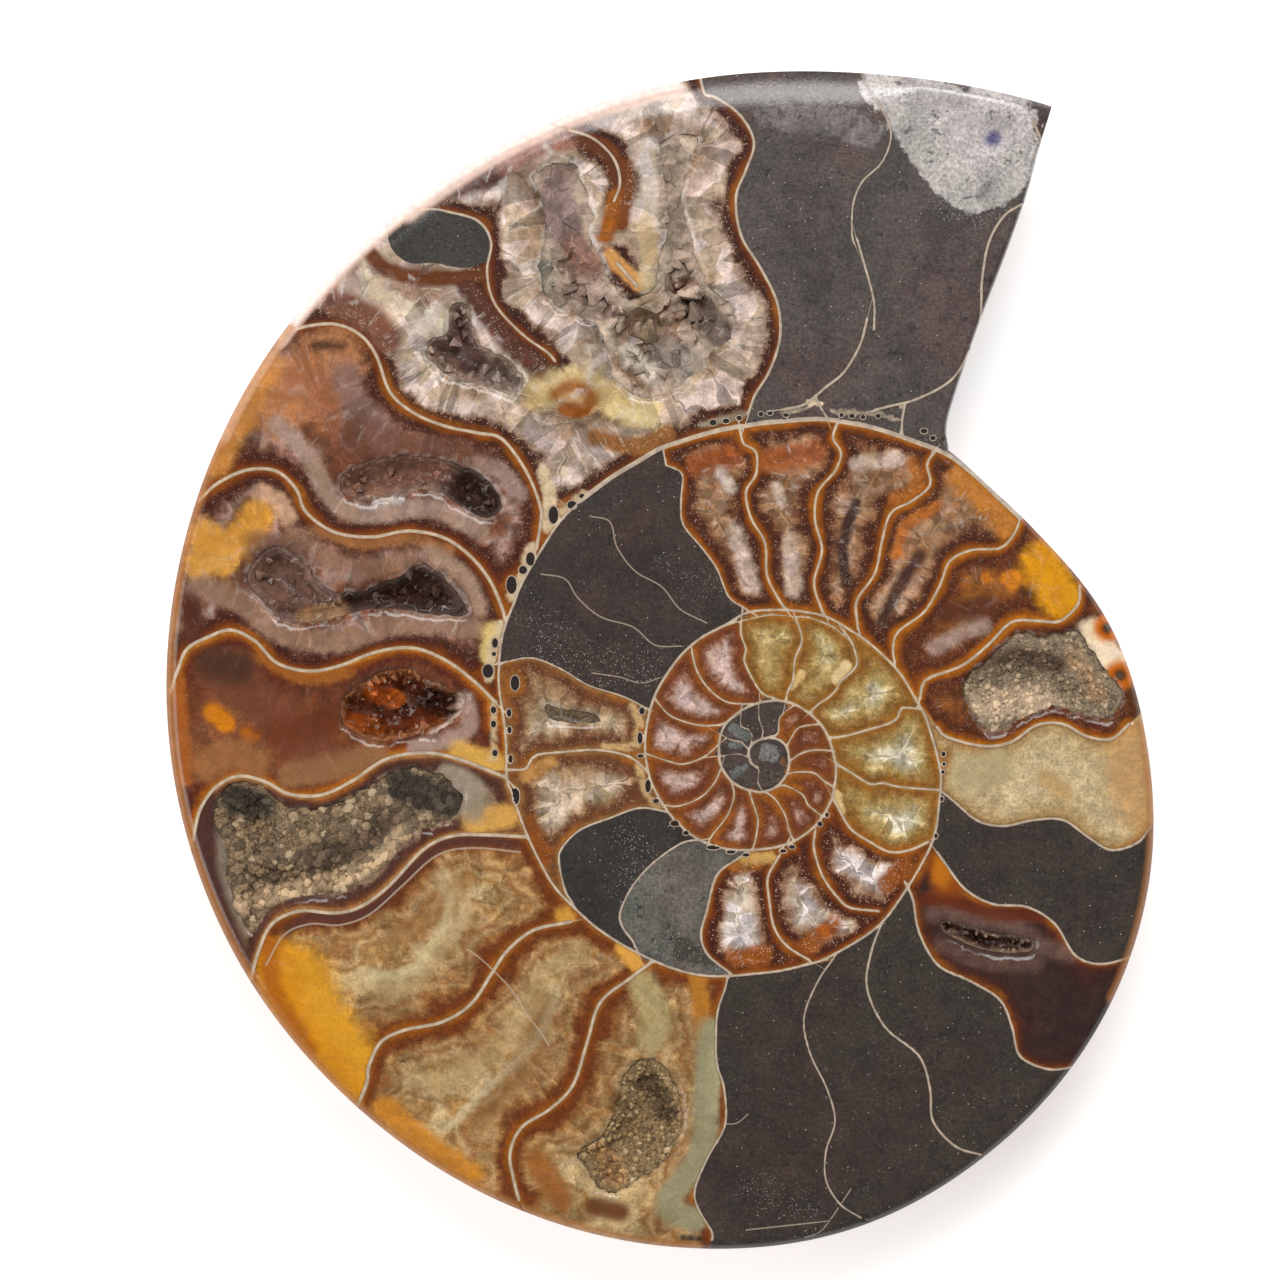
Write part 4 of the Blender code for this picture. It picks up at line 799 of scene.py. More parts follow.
def paint(corners, patches, chambers=None):
    """Colour and strength of the patches at each corner, laid over one another in order."""
    colour = np.zeros((len(corners), 4))
    for tint, reach, strength, points in patches:
        course = smooth_line(points, 0.3) if len(points) < FINE_COURSE else points
        low, high = course.min(0) - reach, course.max(0) + reach
        own = ((corners > low) & (corners < high)).all(1)
        if chambers is not None:
            _, start = nearest(middle_tree, course[:1])
            own &= chambers[chamber[start[0]]]
        own = np.flatnonzero(own)
        away = np.sqrt(((corners[own][:, None] - course) ** 2).sum(2).min(1))
        share = np.clip(PATCH_FALL - PATCH_FALL * away / reach, 0, 1)
        weight = strength * share * share * (3 - 2 * share)
        colour[own, :3] = colour[own, :3] * (1 - weight)[:, None] + linear(tint) * weight[:, None]
        colour[own, 3] = 1 - (1 - colour[own, 3]) * (1 - weight)
    shown = colour[:, 3] > 1e-4
    colour[shown, :3] /= colour[shown, 3:]
    return colour


touched = {}
for number in np.unique(chamber):
    mask = np.zeros(len(face_corners), bool)
    mask[triangles[chamber == number].ravel()] = True
    touched[number] = mask

wall_away, wall_number = nearest(ink_tree, face_corners)
wall_away -= ink_width[wall_number]
wall_root = ink[wall_number]
FAR = 9.0    # stands for no line near, in millimetres
hair_away = np.full(len(face_corners), FAR)
for half, row in hair_rows:
    away, _ = nearest(search_tree(smooth_line(row, 0.05)), face_corners)
    hair_away = np.minimum(hair_away, away - half)
edge_away, _ = nearest(rim_tree, face_corners)
lips = np.vstack([smooth_line(loop, 0.12, closed=True) for loop in hollows.values()])
lip_away, _ = nearest(search_tree(lips), face_corners)
for x, y, radius in BURROWS:
    middle = [(x, y), (x + 0.02, y + 0.02)]
    PATCHES += 2 * [((206, 108, 28), 1.5 * radius, 1.0, middle)]
    PATCHES += [((40, 22, 14), 0.7 * radius, 1.0, middle), ((104, 90, 72), 0.32 * radius, 0.8, middle)]
patch_colour = paint(face_corners, PATCHES, touched)
edge_colour_and_highlight = paint(face_corners, [(tint, reach, strength, edge_course(inset, angles))
                                   for tint, reach, strength, inset, angles in EDGE_COLOURS_AND_HIGHLIGHT])


# Width of the rounded edge by the angle round the coil's middle, and at the broken mouth.
ROUNDING = ((77, 82, 96, 108, 140, 152), (1.1, 3.8, 3.8, 2.6, 2.2, 1.2))
MOUTH_ROUNDING = 0.35


def rounding_width(corners):
    """Width of the rounded edge: broad along the top left, narrow at the broken mouth."""
    angle = coil_angle(corners)
    width = np.interp(angle, *ROUNDING)
    reach = np.linalg.norm(corners - COIL, axis=1)
    at_mouth = (angle > MOUTH_ANGLES[0]) & (angle < MOUTH_ANGLES[1]) & (reach > MOUTH_REACH)
    return np.where(at_mouth, MOUTH_ROUNDING, width)


WHORLS = 5                   # on the flank, each inside the last
SMALLEST_WHORL = 3           # its radius
FLANK_CURVE = (2.6, 0.62)    # powers that round the flank from the navel's edge to the rim


def flank_depth(radius, whorl):
    """How far below the sawn face the hidden flank lies, and where between navel and rim, 0 to 1."""
    swell = HALF_WIDTH * (whorl / TIP_RADIUS) ** SWELL_GROWTH
    for _ in range(WHORLS):
        deeper = (radius < NAVEL_SHARE * whorl) & (whorl > SMALLEST_WHORL)
        whorl = np.where(deeper, whorl / WHORL_RATIO, whorl)
        swell = np.where(deeper, swell / WHORL_RATIO ** SWELL_GROWTH, swell)
    share = np.clip((radius / whorl - NAVEL_SHARE) / (1 - NAVEL_SHARE), 0, 1)
    fullness = (1 - share ** FLANK_CURVE[0]) ** FLANK_CURVE[1]
    return np.minimum(TOP, RIM_DROP + (swell - RIM_DROP) * fullness), share


# The rings of corners below the rim: the first ones go down its side, then they close in on the
# coil's middle, each at a share of the rim's radius.
SIDE_LEVELS = 6
RING_SHARES = list(np.linspace(0, 1, SIDE_LEVELS + 1)[1:]) + [
    0.985, 0.96, 0.93, 0.89, 0.84, 0.79, 0.74, 0.69, 0.64, 0.58, 0.52, 0.46, 0.4, 0.35, 0.31, 0.285, 0.272,
    0.25, 0.22, 0.185, 0.155, 0.146, 0.13, 0.1, 0.075, 0.05, 0.025]
RIBS = 34                  # round one turn of the flank
RIB_HEIGHT = 0.16
BROKEN_ROUGHNESS = 0.16    # how deep the broken mouth's facets lie


def border(faces):
    """The edges that only one of the triangles has, in that triangle's direction."""
    edges = dict.fromkeys((u, v) for a, b, c in faces for u, v in ((a, b), (b, c), (c, a)))
    return [(u, v) for u, v in edges if (v, u) not in edges]


def make_shell():
    """The whole half shell as one closed mesh, with what its finishes read at each corner."""
    curve = np.clip(1 - edge_away / rounding_width(face_corners), 0, 1)
    heights = TOP - EDGE_DROP * curve ** 2
    open_face = np.zeros(len(triangles), bool)
    floor_drop = np.zeros(len(triangles))
    for name, loop in hollows.items():
        inside = inside_loop(middles, loop)
        open_face |= inside
        floor_drop[inside] = HOLLOWS[name][0]
    # `source` says which corner of the face each corner takes its painted values from.
    xy = [face_corners]
    z = [heights]
    source = [np.arange(len(face_corners))]
    faces = triangles[~open_face].tolist()
    slots = filling[~open_face].tolist()
    outline = border(faces)
    # The pits: their floors are the faces that were taken out, set down, and their sides join them.
    pit_faces = triangles[open_face]
    below = {}
    pit_xy, pit_z, pit_source = [], [], []
    for corner, drop in zip(pit_faces.ravel().tolist(), np.repeat(floor_drop[open_face], 3)):
        if corner not in below:
            below[corner] = len(face_corners) + len(below)
            pit_xy.append(face_corners[corner])
            pit_z.append(TOP - drop)
            pit_source.append(corner)
    for a, b, c in pit_faces.tolist():
        faces.append([below[a], below[b], below[c]])
        slots.append(PIT_SLOT)
    outer = {}
    for u, v in outline:
        if u in below and v in below:
            faces.append([v, u, below[u], below[v]])
            slots.append(PIT_SLOT)
        else:
            outer[u] = v
    xy.append(np.array(pit_xy))
    z.append(np.array(pit_z))
    source.append(np.array(pit_source))
    # The side and the hidden flank: rings of corners, one on each spoke from the coil's middle.
    start = next(iter(outer))
    ring = [start]
    while outer[ring[-1]] != start:
        ring.append(outer[ring[-1]])
    ends = face_corners[ring]
    reach = np.linalg.norm(ends - COIL, axis=1)
    angle = coil_angle(ends)
    at_mouth = (angle > MOUTH_ANGLES[0]) & (angle < MOUTH_ANGLES[1]) & (reach > MOUTH_REACH + 0.5)
    whorl = np.where(at_mouth, TIP_RADIUS, reach)
    edge_depth, _ = flank_depth(reach, whorl)
    rng = np.random.default_rng(9)
    count = len(face_corners) + len(pit_xy)
    rings = [list(ring)]
    back_u, back_v = [], []
    for level, share in enumerate(RING_SHARES):
        if level < SIDE_LEVELS:
            rough = np.where(at_mouth, rng.uniform(-BROKEN_ROUGHNESS, 0.0, len(ring)), 0)
            rough = rough * (level < SIDE_LEVELS - 1)
            ring_xy = COIL + (ends - COIL) * (1 + rough / reach)[:, None]
            depth = EDGE_DROP + (edge_depth - EDGE_DROP) * share
            place = np.ones(len(ring))
        else:
            ring_xy = COIL + (ends - COIL) * share
            depth, place = flank_depth(reach * share, whorl)
            rib = 0.5 + 0.5 * np.cos(np.radians(angle) * RIBS + 5.0 * place)
            depth = depth - RIB_HEIGHT * rib * np.clip(place * 3, 0, 1) * np.clip((1 - place) * 6, 0, 1)
        rings.append(list(range(count, count + len(ring))))
        count += len(ring)
        xy.append(ring_xy)
        z.append(TOP - depth)
        source.append(np.array(ring))
        back_u.append(angle)
        back_v.append(place)
    for level, (upper, lower) in enumerate(zip(rings, rings[1:])):
        for i in range(len(ring)):
            j = (i + 1) % len(ring)
            faces.append([upper[j], upper[i], lower[i], lower[j]])
            slots.append(MOUTH_SLOT if at_mouth[i] and level < SIDE_LEVELS else BACK_SLOT)
    xy.append(COIL[None])
    navel_depth, _ = flank_depth(np.zeros(1), np.array([TIP_RADIUS]))
    z.append(TOP - navel_depth)
    source.append(np.array([0]))
    for i in range(len(ring)):
        j = (i + 1) % len(ring)
        faces.append([rings[-1][j], rings[-1][i], count])
        slots.append(BACK_SLOT)
    xy, z, source = np.vstack(xy), np.concatenate(z), np.concatenate(source)
    flank = np.zeros((len(xy), 3))
    first = len(face_corners) + len(pit_xy)
    flank[first:-1, 0] = np.concatenate(back_u)
    flank[first:-1, 1] = np.concatenate(back_v)
    hidden = np.arange(len(xy)) >= first
    values = {
        "wall": np.where(hidden, 3.0, wall_away[source]),
        "hair": np.where(hidden, FAR, hair_away[source]),
        "root": np.column_stack((wall_root[source], wall_away[source])),
        "patch": np.where(hidden[:, None], 0.0, patch_colour[source]),
        "lip": np.where(hidden, FAR, lip_away[source]),
        "edge": np.where(hidden[:, None], 0.0, edge_colour_and_highlight[source]),
        "speck": np.where(hidden, 0.0, speck_crowd(face_corners)[source]),
        "flank": flank,
    }
    return make_mesh("half_shell", xy, z, faces, slots, values)


def make_mesh(name, xy, z, faces, slots, values):
    """An object whose places come from the sheet, with its attributes and material slots."""
    data = bpy.data.meshes.new(name)
    corners = MM * np.column_stack((xy[:, 0] - SHEET_MIDDLE[0], SHEET_MIDDLE[1] - xy[:, 1], z))
    # The sheet's y runs down and the frame's runs up, so each face is turned round.
    data.from_pydata(corners.tolist(), [], [face[::-1] for face in faces])
    data.polygons.foreach_set("material_index", np.array(slots, np.int32))
    set_values(data, values)
    data.update()
    item = bpy.data.objects.new(name, data)
    bpy.context.scene.collection.objects.link(item)
    return item


def set_values(data, values):
    """Stores numbers at a mesh's corners under the names that its material reads."""
    kinds = {1: ("FLOAT", "value"), 3: ("FLOAT_VECTOR", "vector"), 4: ("FLOAT_COLOR", "color")}
    for name, numbers in values.items():
        numbers = np.asarray(numbers, np.float32)
        kind, field = kinds[1 if numbers.ndim == 1 else numbers.shape[1]]
        layer = data.attributes.new(name, kind, "POINT")
        layer.data.foreach_set(field, numbers.ravel())


class Finish:
    """A material's node tree, with short calls for the nodes that the stones use."""

    def __init__(self, name):
        self.material = bpy.data.materials.new(name)
        self.material.use_nodes = True
        self.tree = self.material.node_tree
        self.shader = self.tree.nodes["Principled BSDF"]

    def add(self, kind, *inputs, output=0, **settings):
        """Adds a node; each input is a value, a link or None, in the order of its sockets."""
        item = self.tree.nodes.new(kind)
        for key, value in settings.items():
            setattr(item, key, value)
        sockets = [s for s in item.inputs if s.enabled]
        for socket, value in zip(sockets, inputs):
            self.feed(socket, value)
        return [s for s in item.outputs if s.enabled][output]

    def feed(self, socket, value):
        if isinstance(value, bpy.types.NodeSocket):
            self.tree.links.new(value, socket)
        elif value is not None:
            socket.default_value = value

    def calc(self, operation, *inputs):
        return self.add("ShaderNodeMath", *inputs, operation=operation)

    def times(self, first, second):
        return self.calc("MULTIPLY", first, second)

    def span(self, value, low, high, to_low=0.0, to_high=1.0):
        return self.add("ShaderNodeMapRange", value, low, high, to_low, to_high,
                        interpolation_type="SMOOTHSTEP")

    def mix(self, share, first, second, blend="MIX"):
        colours = [(*linear(c), 1) if isinstance(c, tuple) else c for c in (first, second)]
        return self.add("ShaderNodeMix", share, *colours, data_type="RGBA", blend_type=blend)

    def shade(self, colour, amount):
        """A colour made darker or lighter, or tinted."""
        return self.mix(1.0, colour, amount, "MULTIPLY")

    def read(self, name, output):
        """An attribute's colour (0), vector (1), number (2) or alpha (3)."""
        return self.add("ShaderNodeAttribute", output=output, attribute_name=name)

    def place(self, scale=1.0):
        """Object coordinates in millimetres, times a scale."""
        where = self.add("ShaderNodeTexCoord", output=3)
        return self.add("ShaderNodeVectorMath", where, (scale / MM,) * 3, operation="MULTIPLY")

    def noise(self, where, scale, detail=3.0, rough=0.55):
        return self.add("ShaderNodeTexNoise", where, scale, detail, rough)

    def cells(self, where, scale, output=0, feature="F1", random=1.0):
        item = self.tree.nodes.new("ShaderNodeTexVoronoi")
        item.feature = feature
        self.feed(item.inputs["Vector"], where)
        item.inputs["Scale"].default_value = scale
        item.inputs["Randomness"].default_value = random
        return item.outputs[output]

    def ramp(self, value, stops):
        """Colours by a value from 0 to 1."""
        item = self.tree.nodes.new("ShaderNodeValToRGB")
        self.feed(item.inputs[0], value)
        band = item.color_ramp
        while len(band.elements) < len(stops):
            band.elements.new(0.5)
        for element, (at, colour) in zip(band.elements, stops):
            element.position = at
            element.color = (*linear(colour), 1)
        return item.outputs[0]

    def bands(self, depth, stops):
        """A filling's colours by the distance from its walls."""
        share = self.calc("DIVIDE", depth, BAND_REACH)
        return self.ramp(share, [(at / BAND_REACH, tint) for at, tint in stops])

    def bump(self, height, strength, distance):
        item = self.tree.nodes.new("ShaderNodeBump")
        self.feed(item.inputs["Height"], height)
        item.inputs["Strength"].default_value = strength
        item.inputs["Distance"].default_value = distance
        self.feed(self.shader.inputs["Normal"], item.outputs[0])

    def done(self, colour, roughness, specular):
        self.feed(self.shader.inputs["Base Color"], colour)
        self.feed(self.shader.inputs["Roughness"], roughness)
        self.shader.inputs["Specular IOR Level"].default_value = specular
        return self.material


def patches_over(finish, colour, ragged, low, high):
    """Lays the painted patches over a filling's colour, with ragged edges."""
    strength = finish.read("patch", 3)
    coarse = finish.calc("SUBTRACT", finish.noise(finish.place(), 0.8, 4.0, 0.65), 0.5)
    edge = finish.calc("MULTIPLY_ADD", coarse, ragged, strength)
    share = finish.times(finish.span(edge, low, high), finish.span(strength, 0.0, 0.12))
    return finish.mix(share, colour, finish.read("patch", 0))


def lines_over(finish, colour, wall, cream=(208, 186, 160)):
    """Lays the cream walls and the hairlines over a filling's colour."""
    where = finish.place()
    # Painted shadow: a dark edge just beside each wall.
    colour = finish.mix(finish.times(finish.span(wall, 0.2, 0.02), 0.35), colour, (70, 40, 26))
    dull_cream = tuple(c * 0.82 for c in cream)
    line = finish.mix(finish.span(finish.noise(where, 1.1), 0.3, 0.7), cream, dull_cream)
    colour = finish.mix(finish.span(wall, 0.04, -0.03), colour, line)
    hair = finish.read("hair", 2)
    colour = finish.mix(finish.times(finish.span(hair, 0.04, -0.01), 0.6), colour, (188, 168, 148))
    # The rounded edge: pearly shell, brightened into a painted highlight along the top left, or amber where
    # it is thin, in streaks along the rim.
    streak = finish.span(finish.noise(where, 1.6, 5.0, 0.7), 0.25, 0.75, 0.84, 1.12)
    skin = finish.shade(finish.read("edge", 0), streak)
    return finish.mix(finish.read("edge", 3), colour, skin)


def calcite(name, stops, rods):
    """Polished calcite: bands that follow the walls, then upright crystals that meet in the middle."""
    finish = Finish(name)
    where = finish.place()
    wall = finish.read("wall", 2)
    quick = finish.noise(where, 2.6, 4.0, 0.65)
    # Upright crystals: cells that are wide along the wall and long away from it.
    stretched = finish.add("ShaderNodeVectorMath", finish.read("root", 1), (1.0, 1.0, 0.16),
                           operation="MULTIPLY")
    spear = finish.add("ShaderNodeSeparateColor", finish.cells(stretched, 0.95, output=1), output=0)
    shift = finish.calc("MULTIPLY_ADD", finish.noise(where, 0.2, 3.0, 0.6), 3.4, -1.7)
    shift = finish.calc("ADD", shift, finish.calc("MULTIPLY_ADD", quick, 1.0, -0.5))
    shift = finish.calc("ADD", shift, finish.calc("MULTIPLY_ADD", spear, 0.5, -0.25))
    broad = finish.span(finish.noise(where, 0.19, 2.0), 0.34, 0.66, 1.5, 0.72)
    depth = finish.times(finish.calc("MULTIPLY_ADD", shift, finish.span(wall, 0.1, 1.6), wall), broad)
    colour = finish.bands(depth, stops)
    # Where the shell wall is thick, light comes through it and the band beside it glows amber.
    glow = finish.times(finish.span(finish.noise(where, 0.14, 2.0), 0.48, 0.66),
                        finish.span(wall, 0.95, 0.2))
    colour = finish.mix(finish.times(glow, 0.5), colour, (168, 100, 42))
    colour = patches_over(finish, colour, 0.15 + 0.75 * rods, 0.0, 0.95 - 0.2 * rods)
    # Crystals: each spear has its own shade and bright joints, and coarser blocks cross them.
    inner = finish.span(depth, 1.4, 2.2)
    block = finish.add("ShaderNodeSeparateColor", finish.cells(where, 0.5, output=1), output=1)
    heart = finish.span(finish.cells(where, 0.5), 0.15, 0.75, 1 - 0.14 * rods, 1 + 0.16 * rods)
    lit = finish.times(finish.span(spear, 0.0, 1.0, 0.94 - 0.4 * rods, 1.05 + 0.3 * rods), finish.times(
        finish.span(block, 0.0, 1.0, 0.92 - 0.22 * rods, 1.05 + 0.24 * rods), heart))
    lit = finish.calc("MULTIPLY_ADD", finish.calc("SUBTRACT", lit, 1.0), inner, 1.0)
    swing = 0.22 + 0.08 * rods
    cloud = finish.span(finish.noise(where, 0.8, 7.0, 0.72), 0.34, 0.66, 1 - swing, 1 + 0.95 * swing)
    calm = finish.calc("MULTIPLY_ADD", finish.read("patch", 3), -0.8 + 0.35 * rods, 1.0)
    grit = finish.span(finish.noise(where, 3.2, 5.0, 0.8), 0.36, 0.64,
                       0.8 + 0.14 * rods, 1.2 - 0.12 * rods)
    lit = finish.times(finish.times(lit, cloud), grit)
    lit = finish.calc("MULTIPLY_ADD", finish.calc("SUBTRACT", lit, 1.0), calm, 1.0)
    colour = finish.shade(colour, lit)
    tinge = finish.mix(finish.span(block, 0.3, 0.7), (255, 247, 236), (243, 242, 255))
    colour = finish.mix(finish.times(inner, rods), colour, tinge, "MULTIPLY")
    patchy = finish.span(finish.noise(where, 0.9, 3.0), 0.46, 0.6)
    seams = finish.span(finish.cells(stretched, 0.95, feature="DISTANCE_TO_EDGE"), 0.07, 0.0)
    fleck = finish.times(finish.times(seams, inner), patchy)
    colour = finish.mix(finish.times(fleck, 0.5 * rods ** 3), colour, (228, 220, 210))
    # Painted glints: tiny bright specks laid into the upright crystals' colour.
    painted_glints = finish.span(finish.noise(stretched, 1.5, 6.0, 0.75), 0.56, 0.74)
    painted_glints = finish.times(painted_glints, finish.times(inner, finish.span(depth, 6.0, 3.0)))
    colour = finish.mix(finish.times(painted_glints, 0.85 * rods ** 2), colour, (232, 226, 218))
    # The hollows' edges: a painted highlight, broken crystal tips drawn bright along the rims.
    lip = finish.times(finish.span(finish.read("lip", 2), 0.5, 0.1),
                       finish.span(finish.noise(where, 1.1, 3.0), 0.46, 0.6))
    colour = finish.mix(finish.times(lip, 0.5 * rods ** 2), colour, (232, 224, 214))
    # Sugar: fine bright grains in the dark band next to the walls.
    sugar = finish.times(finish.span(finish.cells(where, 4.4), 0.36, 0.14), finish.span(depth, 0.4, 0.9))
    sugar = finish.times(sugar, finish.span(depth, 2.3, 1.3))
    sugar = finish.times(sugar, finish.span(finish.noise(where, 1.6), 0.4, 0.55))
    colour = finish.mix(finish.times(sugar, 0.85 * rods ** 2), colour, (214, 190, 170))
    colour = finish.add("ShaderNodeHueSaturation", 0.5, 1.06, 1.0, 1.0, colour)
    colour = lines_over(finish, colour, wall)
    finish.bump(finish.noise(where, 1.4, 4.0), 0.12, 0.0002)
    return finish.done(colour, finish.span(quick, 0.3, 0.7, 0.13, 0.24), 0.4)


def mudstone(name, stops):
    """Polished mudstone: fine grain, pale flecks of shell and darker worm traces."""
    finish = Finish(name)
    where = finish.place()
    wall = finish.read("wall", 2)
    colour = finish.bands(wall, stops)
    tinge = finish.span(finish.noise(where, 0.11, 3.0), 0.42, 0.62)
    redder = tuple(c * k for c, k in zip(stops[0][1], (1.2, 0.9, 0.95)))
    colour = finish.mix(finish.times(tinge, 0.3), colour, redder)
    colour = patches_over(finish, colour, 1.1, 0.38, 0.6)
    cloud = finish.span(finish.noise(where, 0.3, 6.0, 0.75), 0.34, 0.66, 0.72, 1.3)
    grain = finish.span(finish.noise(where, 2.6, 6.0, 0.85), 0.36, 0.64, 0.6, 1.46)
    colour = finish.shade(colour, finish.times(cloud, grain))
    trace = finish.times(finish.span(finish.noise(where, 1.1, 2.0), 0.64, 0.7), 0.6)
    colour = finish.mix(trace, colour, (30, 25, 22))
    crowd = finish.read("speck", 2)
    which = finish.add("ShaderNodeSeparateColor", finish.cells(where, 1.9, output=1), output=0)
    fleck = finish.times(finish.span(finish.cells(where, 1.9), 0.16, 0.05),
                         finish.span(which, 0.74, 0.84))
    colour = finish.mix(finish.times(fleck, 0.8), colour, (206, 196, 184))
    some = finish.calc("MULTIPLY_ADD", crowd, 0.3, finish.noise(where, 0.9))
    fine = finish.times(finish.span(finish.cells(where, 4.2), 0.26, 0.1), finish.span(some, 0.5, 0.7))
    fine = finish.times(fine, finish.calc("MULTIPLY_ADD", crowd, 0.5, 0.45))
    colour = finish.mix(fine, colour, (190, 182, 172))
    colour = lines_over(finish, colour, wall, (196, 178, 158))
    finish.bump(finish.noise(where, 4.0, 4.0), 0.1, 0.00015)
    return finish.done(colour, finish.span(finish.noise(where, 3.0), 0.3, 0.7, 0.17, 0.27), 0.5)


def bubble_stone(name, stops):
    """The small round chambers beside the spiral wall: dark stone, seen a little below the polish."""
    finish = Finish(name)
    blend = finish.span(finish.noise(finish.place(), 2.0, 4.0), 0.35, 0.65)
    colour = finish.mix(blend, stops[0][1], stops[1][1])
    return finish.done(colour, 0.3, 0.35)


def pit_stone():
    """The sides of the hollows, behind their crusts: dull brown crystal."""
    finish = Finish("pit_stone")
    where = finish.place()
    colour = finish.mix(finish.noise(where, 1.5, 4.0), (70, 44, 34), (128, 100, 86))
    return finish.done(colour, 0.5, 0.3)


def broken_mud():
    """The broken mouth: the mudstone's rough inside, never polished."""
    finish = Finish("broken_mud")
    where = finish.place()
    blend = finish.span(finish.noise(where, 0.8, 6.0, 0.7), 0.3, 0.7)
    colour = finish.mix(blend, (62, 57, 53), (112, 104, 97))
    fleck = finish.span(finish.cells(where, 2.2), 0.14, 0.06)
    colour = finish.mix(finish.times(fleck, 0.5), colour, (180, 170, 158))
    finish.bump(finish.noise(where, 1.6, 8.0, 0.65), 0.8, 0.0006)
    return finish.done(colour, 0.7, 0.3)


JOINT_ANGLE = 12.5    # degrees from one joint line of the flank to the next


def outer_shell():
    """The hidden flank: polished brown shell with a pearly sheen and leaf-shaped joint lines."""
    finish = Finish("outer_shell")
    where = finish.place()
    flank = finish.read("flank", 1)
    split = finish.tree.nodes.new("ShaderNodeSeparateXYZ")
    finish.feed(split.inputs[0], flank)
    angle, share = split.outputs[0], split.outputs[1]
    lobes = finish.times(finish.calc("SINE", finish.times(share, 24.0)), 1.6)
    fine = finish.times(finish.calc("SINE", finish.times(share, 95.0)), 0.7)
    waver = finish.times(finish.noise(where, 0.9, 4.0), 2.4)
    bend = finish.calc("ADD", finish.calc("ADD", lobes, fine), waver)
    across = finish.calc("FRACT", finish.calc("DIVIDE", finish.calc("ADD", angle, bend), JOINT_ANGLE))
    line = finish.span(finish.calc("ABSOLUTE", finish.calc("SUBTRACT", across, 0.5)), 0.035, 0.012)
    patchy = finish.noise(where, 0.09, 4.0, 0.6)
    colour = finish.ramp(patchy, [(0.3, (96, 52, 26)), (0.44, (150, 92, 44)), (0.54, (186, 142, 92)),
                                  (0.66, (120, 92, 76)), (0.76, (84, 72, 64))])
    streak = finish.span(finish.noise(where, 1.2, 5.0, 0.65), 0.3, 0.7, 0.78, 1.18)
    colour = finish.shade(colour, streak)
    colour = finish.mix(finish.times(line, 0.8), colour, (58, 32, 20))
    finish.bump(finish.noise(where, 0.9, 5.0), 0.15, 0.0003)
    finish.shader.inputs["Coat Weight"].default_value = 0.25
    finish.shader.inputs["Coat Roughness"].default_value = 0.15
    return finish.done(colour, finish.span(patchy, 0.3, 0.7, 0.22, 0.34), 0.45)


PIT_SLOT = len(FILLINGS)
MOUTH_SLOT = PIT_SLOT + 1
BACK_SLOT = PIT_SLOT + 2
shell = make_shell()
for name, _, stops, rods in FILLINGS:
    if name == "bubble_mud":
        shell.data.materials.append(bubble_stone(name, stops))
    else:
        shell.data.materials.append(mudstone(name, stops) if rods is None else calcite(name, stops, rods))
shell.data.materials.append(pit_stone())
shell.data.materials.append(broken_mud())
shell.data.materials.append(outer_shell())
# The pits and the broken mouth keep their facets. All else is smooth.
shell.data.polygons.foreach_set(
    "use_smooth", [face.material_index not in (PIT_SLOT, MOUTH_SLOT) for face in shell.data.polygons])
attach(shell, "root")
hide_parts("shell_half")


# The crystal crusts. Each hollow that stayed open is lined with calcite crystals, which grew from
# its walls towards its middle, and its floor is covered with larger, duller faces. The crust has
# grown fast to the shell and nothing holds it.
CRUST_STEP = 0.27        # distance between a crust's corners
SIDE_GAP = 0.04          # between a crust and its pit's side
FLOOR_GAP = 0.05         # between a crust and its pit's floor
THIRD_TURN = 2.094       # in radians


